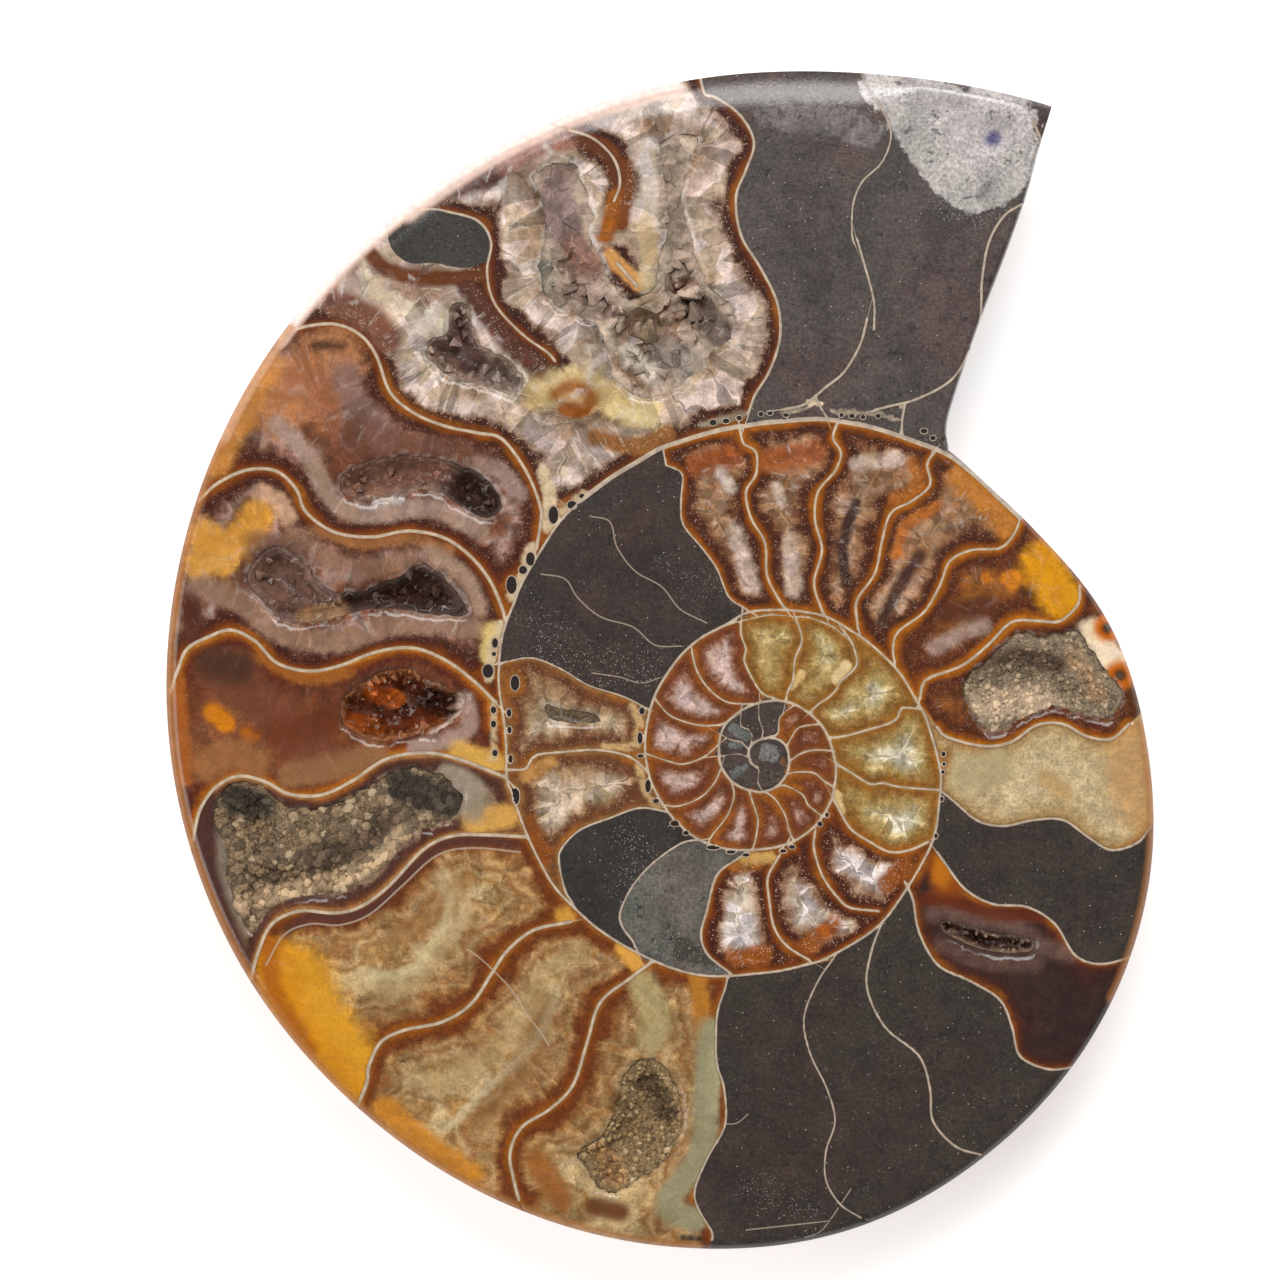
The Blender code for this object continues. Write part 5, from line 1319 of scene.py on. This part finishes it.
def crust_base(name, spacing, lift, steepness, rim_gap=0.12):
    """A closed slab that fills the pit's floor: pointed faces over a floor that dips inwards."""
    depth, _, _ = HOLLOWS[name]
    loop = hollows[name]
    first, second = offsets(loop, SIDE_GAP, closed=True)
    wall = first if inside_loop(first, loop).mean() > 0.5 else second
    rng = np.random.default_rng(sum(map(ord, name)) + 1)
    low, high = wall.min(0), wall.max(0)
    columns = np.arange(low[0], high[0], CRUST_STEP)
    rows = np.arange(low[1], high[1], CRUST_STEP)
    grid = np.stack(np.meshgrid(columns, rows), -1).reshape(-1, 2)
    grid += rng.uniform(-0.07, 0.07, grid.shape)
    grid = grid[inside_loop(grid, wall)]
    edge_tree = search_tree(smooth_line(wall, 0.12, closed=True))
    away, _ = nearest(edge_tree, grid)
    grid = grid[away > 0.16]
    spread = np.vstack([wall, grid])
    result = delaunay_2d_cdt([tuple(p) for p in spread], [], [list(range(len(wall)))], 1, 1e-6, True)
    corners = np.array([tuple(v) for v in result[0]])
    faces = np.array(result[2])
    away, _ = nearest(edge_tree, corners)
    # Crystal faces: the highest of many three-sided corners, as calcite grows, each with its own tilt.
    span = high - low
    seeds = rng.uniform(low - 1, high + 1, (int(span[0] * span[1] / spacing ** 2 * 1.6) + 6, 2))
    peak = rng.uniform(0.35, 1.0, len(seeds)) * lift
    turn = rng.uniform(0, THIRD_TURN, len(seeds))
    tilt = rng.uniform(-0.35, 0.35, (len(seeds), 2))
    slope = rng.uniform(0.55, 1.1, len(seeds)) * steepness
    roof = np.full(len(corners), -9.0)
    for (sx, sy), p, t, (tx, ty), s in zip(seeds, peak, turn, tilt, slope):
        dx, dy = corners[:, 0] - sx, corners[:, 1] - sy
        fall = np.max([dx * math.cos(t + k * THIRD_TURN) + dy * math.sin(t + k * THIRD_TURN)
                       for k in range(3)], 0)
        roof = np.maximum(roof, p - s * fall + tx * dx + ty * dy)
    decay = min(0.9, 0.35 * away.max())
    sunk = (depth - 1.1) * (1 - np.exp(-np.maximum(away - 0.1, 0) / decay))
    floor = TOP - depth + FLOOR_GAP
    heights = np.clip(TOP - sunk + roof * np.clip(away / 0.8, 0, 1), floor + 0.3, TOP - rim_gap)
    heights = np.where(away < 0.06, TOP - rim_gap, heights)
    count = len(corners)
    body = faces.tolist() + (faces[:, ::-1] + count).tolist()
    body += [[v, u, u + count, v + count] for u, v in border(faces.tolist())]
    z = np.concatenate([heights, np.full(count, floor)])
    return make_mesh(name + "_base", np.vstack([corners, corners]), z, body, [0] * len(body), {})


HALF_TURN = 3.14    # in radians
LEAST_UP = 0.12     # upward part of a face's direction from which crystals stand on it


def grow_over(base, name, material, density, smallest, largest, lean, grains, seed):
    """Scatters crystals or grains over a base with Geometry Nodes and joins them into one plain mesh."""
    tree = bpy.data.node_groups.new("grow_" + name, "GeometryNodeTree")
    tree.interface.new_socket("Geometry", in_out="INPUT", socket_type="NodeSocketGeometry")
    tree.interface.new_socket("Geometry", in_out="OUTPUT", socket_type="NodeSocketGeometry")
    sizes = {}
    for label, value in (("Pieces per square millimetre", density), ("Smallest", smallest),
                         ("Largest", largest), ("Lean", lean)):
        socket = tree.interface.new_socket(label, in_out="INPUT", socket_type="NodeSocketFloat")
        sizes[socket.identifier] = float(value)
    nodes, links = tree.nodes, tree.links

    def add(kind, feeds=(), **settings):
        node = nodes.new(kind)
        for key, value in settings.items():
            setattr(node, key, value)
        for key, value in dict(feeds).items():
            socket = node.inputs[key]
            if isinstance(value, bpy.types.NodeSocket):
                links.new(value, socket)
            else:
                socket.default_value = value
        return node

    given = add("NodeGroupInput").outputs
    # Points on the faces that look up.
    normal = add("GeometryNodeInputNormal")
    up = add("ShaderNodeSeparateXYZ", {0: normal.outputs[0]})
    facing = add("FunctionNodeCompare", {0: up.outputs[2], 1: LEAST_UP}, data_type="FLOAT",
                 operation="GREATER_THAN")
    per_metre = add("ShaderNodeMath", {0: given[1], 1: 1 / MM ** 2}, operation="MULTIPLY")
    spots = add("GeometryNodeDistributePointsOnFaces", {
        "Mesh": given[0], "Selection": facing.outputs[0], "Density": per_metre.outputs[0], "Seed": seed})
    if grains:
        shape = add("GeometryNodeMeshIcoSphere", {"Radius": 0.5 * MM, "Subdivisions": 1})
    else:
        shape = add("GeometryNodeMeshCone", {
            "Vertices": 5, "Radius Top": 0.13 * MM, "Radius Bottom": 0.6 * MM, "Depth": 0.8 * MM})
    # Many small ones and few large ones, each with its own proportions.
    chance = add("FunctionNodeRandomValue", {2: 0.0, 3: 1.0, "Seed": seed + 4}, data_type="FLOAT")
    rare = add("ShaderNodeMath", {0: chance.outputs[1], 1: 3.0 if grains else 1.3}, operation="POWER")
    whole_size = add("ShaderNodeMapRange", {0: rare.outputs[0], 3: given[2], 4: given[3]})
    form = add("FunctionNodeRandomValue", {0: (0.6, 0.6, 0.6), 1: (1.15, 1.15, 1.2), "Seed": seed + 1},
               data_type="FLOAT_VECTOR")
    size = add("ShaderNodeVectorMath", {0: form.outputs[0], "Scale": whole_size.outputs[0]},
               operation="SCALE")
    # Each is turned freely about its own axis and leans by the given angle at most.
    turn_low = add("ShaderNodeCombineXYZ", {2: -HALF_TURN})
    turn_high = add("ShaderNodeCombineXYZ", {2: HALF_TURN})
    back = add("ShaderNodeMath", {0: given[4], 1: -1.0}, operation="MULTIPLY")
    for axis in (0, 1):
        links.new(back.outputs[0], turn_low.inputs[axis])
        links.new(given[4], turn_high.inputs[axis])
    turn = add("FunctionNodeRandomValue", {
        0: turn_low.outputs[0], 1: turn_high.outputs[0], "Seed": seed + 2}, data_type="FLOAT_VECTOR")
    spin = add("FunctionNodeEulerToRotation", {0: turn.outputs[0]})
    lay = add("FunctionNodeRotateRotation", {0: spots.outputs["Rotation"], 1: spin.outputs[0]},
              rotation_space="LOCAL")
    grown = add("GeometryNodeInstanceOnPoints", {
        "Points": spots.outputs["Points"], "Instance": shape.outputs["Mesh"],
        "Rotation": lay.outputs[0], "Scale": size.outputs[0]})
    # The tone that the material reads: large ones are paler. The base has one of its own.
    own_shade = add("FunctionNodeRandomValue", {2: 0.0, 3: 0.8, "Seed": seed + 3}, data_type="FLOAT")
    shade = add("ShaderNodeMath", {0: rare.outputs[0], 1: 0.2 if grains else 0.1, 2: own_shade.outputs[1]},
                operation="MULTIPLY_ADD")
    toned = add("GeometryNodeStoreNamedAttribute", {
        "Geometry": grown.outputs[0], "Name": "tone", "Value": shade.outputs[0]},
        data_type="FLOAT", domain="INSTANCE")
    solid = add("GeometryNodeRealizeInstances", {0: toned.outputs[0]})
    plain = add("GeometryNodeStoreNamedAttribute", {"Geometry": given[0], "Name": "tone", "Value": 0.4},
                data_type="FLOAT", domain="POINT")
    whole = add("GeometryNodeJoinGeometry")
    links.new(solid.outputs[0], whole.inputs[0])
    links.new(plain.outputs[0], whole.inputs[0])
    coated = add("GeometryNodeSetMaterial", {"Geometry": whole.outputs[0], "Material": material})
    target = add("NodeGroupOutput")
    links.new(coated.outputs[0], target.inputs[0])
    change = base.modifiers.new("grow", "NODES")
    change.node_group = tree
    for identifier, value in sizes.items():
        change[identifier] = value
    depsgraph = bpy.context.evaluated_depsgraph_get()
    data = bpy.data.meshes.new_from_object(base.evaluated_get(depsgraph), depsgraph=depsgraph)
    base.modifiers.remove(change)
    old = base.data
    base.data = data
    bpy.data.meshes.remove(old)
    base.name = name
    data.name = name
    return base


FACE_GAP = 0.05      # from a crust's highest points up to the sawn face
PRESS_DEPTH = 0.5    # how far below that the points start to be pressed down
BED_GAP = 0.03       # from a crust's lowest corners down to its pit's floor


def keep_below(item, name):
    """Holds every corner of a crust inside its pit and under the sawn face."""
    data = item.data
    co = np.zeros(len(data.vertices) * 3)
    data.vertices.foreach_get("co", co)
    co = co.reshape(-1, 3)
    # Points that would stick out of the hollow are pressed down, the higher the more.
    bound = (TOP - FACE_GAP - PRESS_DEPTH) * MM
    over = np.maximum(co[:, 2] - bound, 0)
    co[:, 2] = np.minimum(co[:, 2], bound) + PRESS_DEPTH * MM * (1 - np.exp(-over / (PRESS_DEPTH * MM)))
    co[:, 2] = np.maximum(co[:, 2], (TOP - HOLLOWS[name][0] + BED_GAP) * MM)
    data.vertices.foreach_set("co", co.ravel())
    data.update()
    xy = np.column_stack((co[:, 0] / MM + SHEET_MIDDLE[0], SHEET_MIDDLE[1] - co[:, 1] / MM))
    return xy, co[:, 2] / MM


def settle(crust, name, patches):
    """Presses a crust into its pit and paints it."""
    xy, z = keep_below(crust, name)
    depth = HOLLOWS[name][0]
    set_values(crust.data, {"patch": paint(xy, patches), "height": (z - TOP + depth) / depth})


def crystal(name, shaded_deep, shallow, tips):
    """Calcite crystals in a hollow: glassy, with painted shade that makes them browner and darker in the
    depths and palest at the points.
    """
    finish = Finish(name)
    where = finish.place()
    height = finish.read("height", 2)
    tone = finish.read("tone", 2)
    grain = finish.noise(where, 1.7, 4.0, 0.6)
    level = finish.calc("ADD", height, finish.calc("MULTIPLY_ADD", grain, 0.5, -0.25))
    # Painted shade: the colour darkens from the tips down into the depths.
    colour = finish.mix(finish.span(level, 0.05, 0.7), shaded_deep, shallow)
    colour = finish.mix(finish.span(level, 0.6, 1.0), colour, tips)
    strength = finish.times(finish.span(finish.read("patch", 3), 0.05, 0.8), 0.75)
    colour = finish.mix(strength, colour, finish.read("patch", 0))
    cloud = finish.span(finish.noise(where, 0.7, 7.0, 0.72), 0.34, 0.66, 0.6, 1.36)
    colour = finish.shade(colour, finish.times(cloud, finish.span(tone, 0.0, 0.9, 0.76, 1.26)))
    veins = finish.span(finish.cells(where, 0.7, feature="DISTANCE_TO_EDGE"), 0.04, 0.0)
    veins = finish.times(veins, finish.span(finish.noise(where, 0.9), 0.5, 0.62))
    veins = finish.times(veins, finish.span(height, 0.5, 0.8, 0.05, 0.5))
    colour = finish.mix(veins, colour, (214, 204, 194))
    finish.bump(grain, 0.25, 0.0003)
    rough = finish.calc("ADD", finish.span(grain, 0.3, 0.7, 0.2, 0.4),
                        finish.span(height, 0.72, 0.95, 0.0, 0.45))
    return finish.done(colour, rough, 0.4)


# Each crystal crust: spacing, lift and steepness of its corners, blocks per square millimetre,
# smallest and largest block, colours in the depths, half way and at the top (painted shade, darkest in the
# depths), and its patches.
CRYSTAL_CRUSTS = {
    "crust_great_hollow": (3, 1.6, 0.6, 0.55, 0.6, 2.6, (80, 54, 42), (128, 96, 76), (180, 158, 138), [
        ((112, 86, 86), 3, 0.9, [(55.4, 19.6), (56.4, 22.6)]),
        ((78, 50, 48), 1.5, 0.9, [(54.6, 17.4), (57, 17.2)]),
        ((128, 78, 62), 2.2, 0.85, [(57.4, 24.8), (59.2, 26.6)]),
        ((134, 110, 98), 2.6, 0.8, [(56, 28.4), (60.2, 30.8)]),
        ((104, 100, 84), 1.2, 0.8, [(54.4, 26.6), (54.9, 29.2)]),
        ((150, 124, 94), 1.9, 0.9, [(64.6, 29.6), (65.2, 33.6)]),
        ((58, 42, 34), 2.5, 0.95, [(70, 31), (72, 33.2)]),
        ((136, 124, 114), 2.8, 0.8, [(66.4, 35.4), (69.4, 36.6)]),
        ((240, 228, 210), 1.6, 0.95, [(63, 35.2), (64.6, 37.8)]),
        ((132, 96, 62), 0.9, 0.8, [(61.6, 36), (64.6, 38.9)]),
        ((126, 108, 92), 1.8, 0.8, [(67.4, 15.4), (67.4, 21), (68.2, 27)]),
    ]),
    "crust_third_chamber": (2.4, 1.2, 0.6, 0.4, 0.4, 1.4, (78, 54, 44), (112, 86, 74), (156, 132, 116), [
        ((92, 66, 62), 2.2, 0.8, [(45.8, 33.4), (47.2, 36)]),
        ((140, 122, 112), 1.6, 0.8, [(48.6, 37.2), (51.4, 38.2)]),
    ]),
    "crust_fourth_chamber": (2.6, 1.1, 0.6, 0.3, 0.4, 1.2, (50, 27, 19), (108, 76, 63), (132, 104, 92), [
        ((38, 20, 15), 3.2, 0.95, [(45.8, 48.2), (48.8, 50.6)]),
        ((134, 94, 76), 3.2, 0.95, [(35.4, 48.6), (38.4, 47.2), (43.4, 46.4)]),
    ]),
    "crust_fifth_chamber": (2.6, 1.1, 0.6, 0.3, 0.4, 1.2, (42, 22, 16), (98, 68, 56), (128, 100, 88), [
        ((128, 94, 78), 3, 0.92, [(26.4, 57.6), (29.6, 58.8)]),
        ((152, 112, 72), 1.5, 0.9, [(30.4, 61.9), (34.2, 60.9)]),
        ((40, 20, 15), 3.6, 0.97, [(36.6, 59.8), (41, 59), (44.8, 60.2)]),
    ]),
    "crust_sixth_chamber": (1.7, 1.1, 0.8, 0.8, 0.3, 1.1, (46, 18, 10), (94, 40, 14), (146, 88, 48), [
        ((196, 96, 22), 1.5, 0.95, [(37.4, 69.2), (39.4, 69.9)]),
        ((160, 76, 20), 1.4, 0.85, [(35.2, 72.2), (37.6, 72.6)]),
        ((38, 16, 11), 2, 0.95, [(43, 70), (45.6, 70.8)]),
        ((206, 186, 170), 0.8, 0.95, [(46.2, 69.6), (46.2, 71.2), (45, 72.6), (43.4, 73.4)]),
    ]),
    "crust_fifteenth_chamber": (1.2, 0.6, 0.8, 1.6, 0.2, 0.7, (34, 17, 12), (66, 42, 32), (142, 116, 96), []),
    "crust_inner_whorl": (0.9, 0.4, 0.8, 2.5, 0.15, 0.5, (28, 19, 12), (58, 42, 28), (128, 106, 76), []),
}
CRYSTAL_LEAN = 0.6    # radians that a crystal may lean away from the face under it
for number, (name, numbers) in enumerate(CRYSTAL_CRUSTS.items()):
    spacing, lift, steepness, density, smallest, largest, shaded_deep, shallow, tips, patches = numbers
    finish = crystal(name.replace("crust", "crystals"), shaded_deep, shallow, tips)
    crust = grow_over(crust_base(name, spacing, lift, steepness), name + "_crystals", finish, density,
                      smallest, largest, CRYSTAL_LEAN, False, 11 * number + 3)
    settle(crust, name, patches)
    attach(crust, "root")
    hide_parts(name)


# The sand crusts. Three hollows let sand in before the shell was filled: brown grains of all
# sizes, cemented where they lie, rougher than the crystals and never polished.
def sand(name, dark, light):
    """Cemented sand: brown, with pale and dark grains, and painted shade that darkens it towards the bottom
    of the hollow.
    """
    finish = Finish(name)
    where = finish.place()
    tone = finish.read("tone", 2)
    height = finish.read("height", 2)
    patch = finish.read("patch", 0)
    strength = finish.read("patch", 3)
    grain = finish.noise(where, 4.0, 5.0, 0.7)
    colour = finish.mix(finish.span(grain, 0.3, 0.7), dark, light)
    colour = finish.mix(finish.times(finish.span(tone, 0.74, 0.94), 0.4), colour, (182, 162, 134))
    colour = finish.mix(finish.times(finish.span(strength, 0.05, 0.8), 0.85), colour, patch)
    colour = finish.shade(colour, finish.span(tone, 0.0, 0.9, 0.42, 1.7))
    # Painted shade: darker towards the bottom of the hollow.
    colour = finish.shade(colour, finish.span(height, 0.0, 0.6, 0.6, 1.0))
    finish.bump(grain, 0.5, 0.0003)
    return finish.done(colour, 0.65, 0.35)


# Each sand crust: its largest grain, two colours, and its patches.
SAND_CRUSTS = {
    "crust_seventh_chamber": (1.5, (84, 66, 48), (142, 118, 88), [
        # The two darkest patches are painted shade where the sand has holes.
        ((34, 27, 20), 2.3, 0.97, [(23.6, 80), (25.8, 80.6)]),
        ((34, 27, 20), 2.7, 0.97, [(40.4, 78.6), (44.8, 80)]),
        ((66, 48, 34), 2.6, 0.65, [(31.6, 86), (36.4, 84.6), (38.6, 82.4)]),
        ((180, 152, 118), 1.4, 0.8, [(24, 90.4), (30, 88.8), (36, 87), (40.4, 83.4)]),
    ]),
    "crust_tenth_chamber": (0.9, (108, 84, 54), (168, 140, 98), [
        ((84, 66, 44), 1.8, 0.8, [(64.8, 108.4), (66.6, 111.2)]),
        ((158, 118, 74), 1.8, 0.7, [(60.2, 115.2), (61.6, 117.8)]),
    ]),
    "crust_eighteenth_chamber": (0.8, (104, 86, 66), (164, 144, 116), [
        ((84, 62, 48), 1.6, 0.7, [(98, 66.2), (101.6, 65.6), (105.8, 66.6)]),
        ((196, 170, 140), 2.6, 0.7, [(98.4, 70.4), (101, 70.2), (104.6, 70.4)]),
        ((170, 138, 104), 1.6, 0.7, [(107.4, 65.4), (109.8, 69.4)]),
    ]),
}
# All sand crusts: spacing, lift and steepness of the floor's corners and how far it stays under the
# rim, then grains per square millimetre, the smallest grain, and how far one may turn, in radians.
SAND_FLOOR = (1.5, 1.0, 0.8, 0.3)
SAND_DENSITY = 9.0
SMALLEST_GRAIN = 0.2
SAND_LEAN = 1.5
for number, (name, (largest, dark, light, patches)) in enumerate(SAND_CRUSTS.items()):
    finish = sand(name.replace("crust", "sand"), dark, light)
    crust = grow_over(crust_base(name, *SAND_FLOOR), name + "_sand", finish,
                      SAND_DENSITY, SMALLEST_GRAIN, largest, SAND_LEAN, True, 17 * number + 5)
    settle(crust, name, patches)
    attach(crust, "root")
    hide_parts(name)


# The table: a plain pale sheet under the fossil, wider than any view. It shines a little by itself,
# so that it stays as white as the room.
TABLE_HALF = 3    # metres from its middle to an edge


def make_table():
    """The sheet, as one flat face."""
    data = bpy.data.meshes.new("table")
    corners = [(x * TABLE_HALF, y * TABLE_HALF, 0) for x, y in ((-1, -1), (1, -1), (1, 1), (-1, 1))]
    data.from_pydata(corners, [], [(0, 1, 2, 3)])
    finish = Finish("pale_table")
    colour = finish.mix(finish.noise(finish.place(), 0.02), (248, 248, 249), (252, 252, 253))
    finish.shader.inputs["Emission Color"].default_value = (1, 1, 1, 1)
    finish.shader.inputs["Emission Strength"].default_value = 0.45
    data.materials.append(finish.done(colour, 0.9, 0.1))
    item = bpy.data.objects.new("table", data)
    bpy.context.scene.collection.objects.link(item)
    return item


table = make_table()

# The light: a white room, a broad soft lamp beyond the top of the fossil and a weaker one beside it.
# The top lamp stands where the rounded edge mirrors it.
world = bpy.data.worlds.new("white_room")
world.use_nodes = True
world.node_tree.nodes["Background"].inputs[0].default_value = (1, 1, 1, 1)
world.node_tree.nodes["Background"].inputs[1].default_value = 0.36
bpy.context.scene.world = world
bpy.context.scene.view_settings.view_transform = "Standard"


def make_lamp(name, where, size, power):
    """A soft square lamp that points at the fossil."""
    data = bpy.data.lights.new(name, "AREA")
    data.shape = "SQUARE"
    data.size = size
    data.energy = power
    item = bpy.data.objects.new(name, data)
    item.location = where
    bpy.context.scene.collection.objects.link(item)
    away = np.array(where) - np.array((0, 0, 0.01))
    tip = math.atan2(math.hypot(away[0], away[1]), away[2])
    item.rotation_euler = (tip, 0, math.atan2(away[0], -away[1]))
    return item


# Where each lamp hangs, in metres, then the length of its side and its power in watts.
make_lamp("top_lamp", (0.04, 0.4, 0.66), 0.34, 3.5)
make_lamp("left_lamp", (-0.6, -0.1, 0.55), 0.45, 2.4)

# The camera: straight above the sawn face, with the photograph's whole sheet in view.
CAMERA_HEIGHT = 0.6    # metres above the sawn face
SHEET_WIDTH = 128      # millimetres
SENSOR = 36.0
camera_data = bpy.data.cameras.new("camera")
camera_data.sensor_width = SENSOR
camera_data.lens = SENSOR * CAMERA_HEIGHT / (SHEET_WIDTH * MM)
camera = bpy.data.objects.new("camera", camera_data)
camera.location = ((SHEET_WIDTH / 2 - SHEET_MIDDLE[0]) * MM, (SHEET_MIDDLE[1] - SHEET_WIDTH / 2) * MM,
                   TOP * MM + CAMERA_HEIGHT)
bpy.context.scene.collection.objects.link(camera)
bpy.context.scene.camera = camera
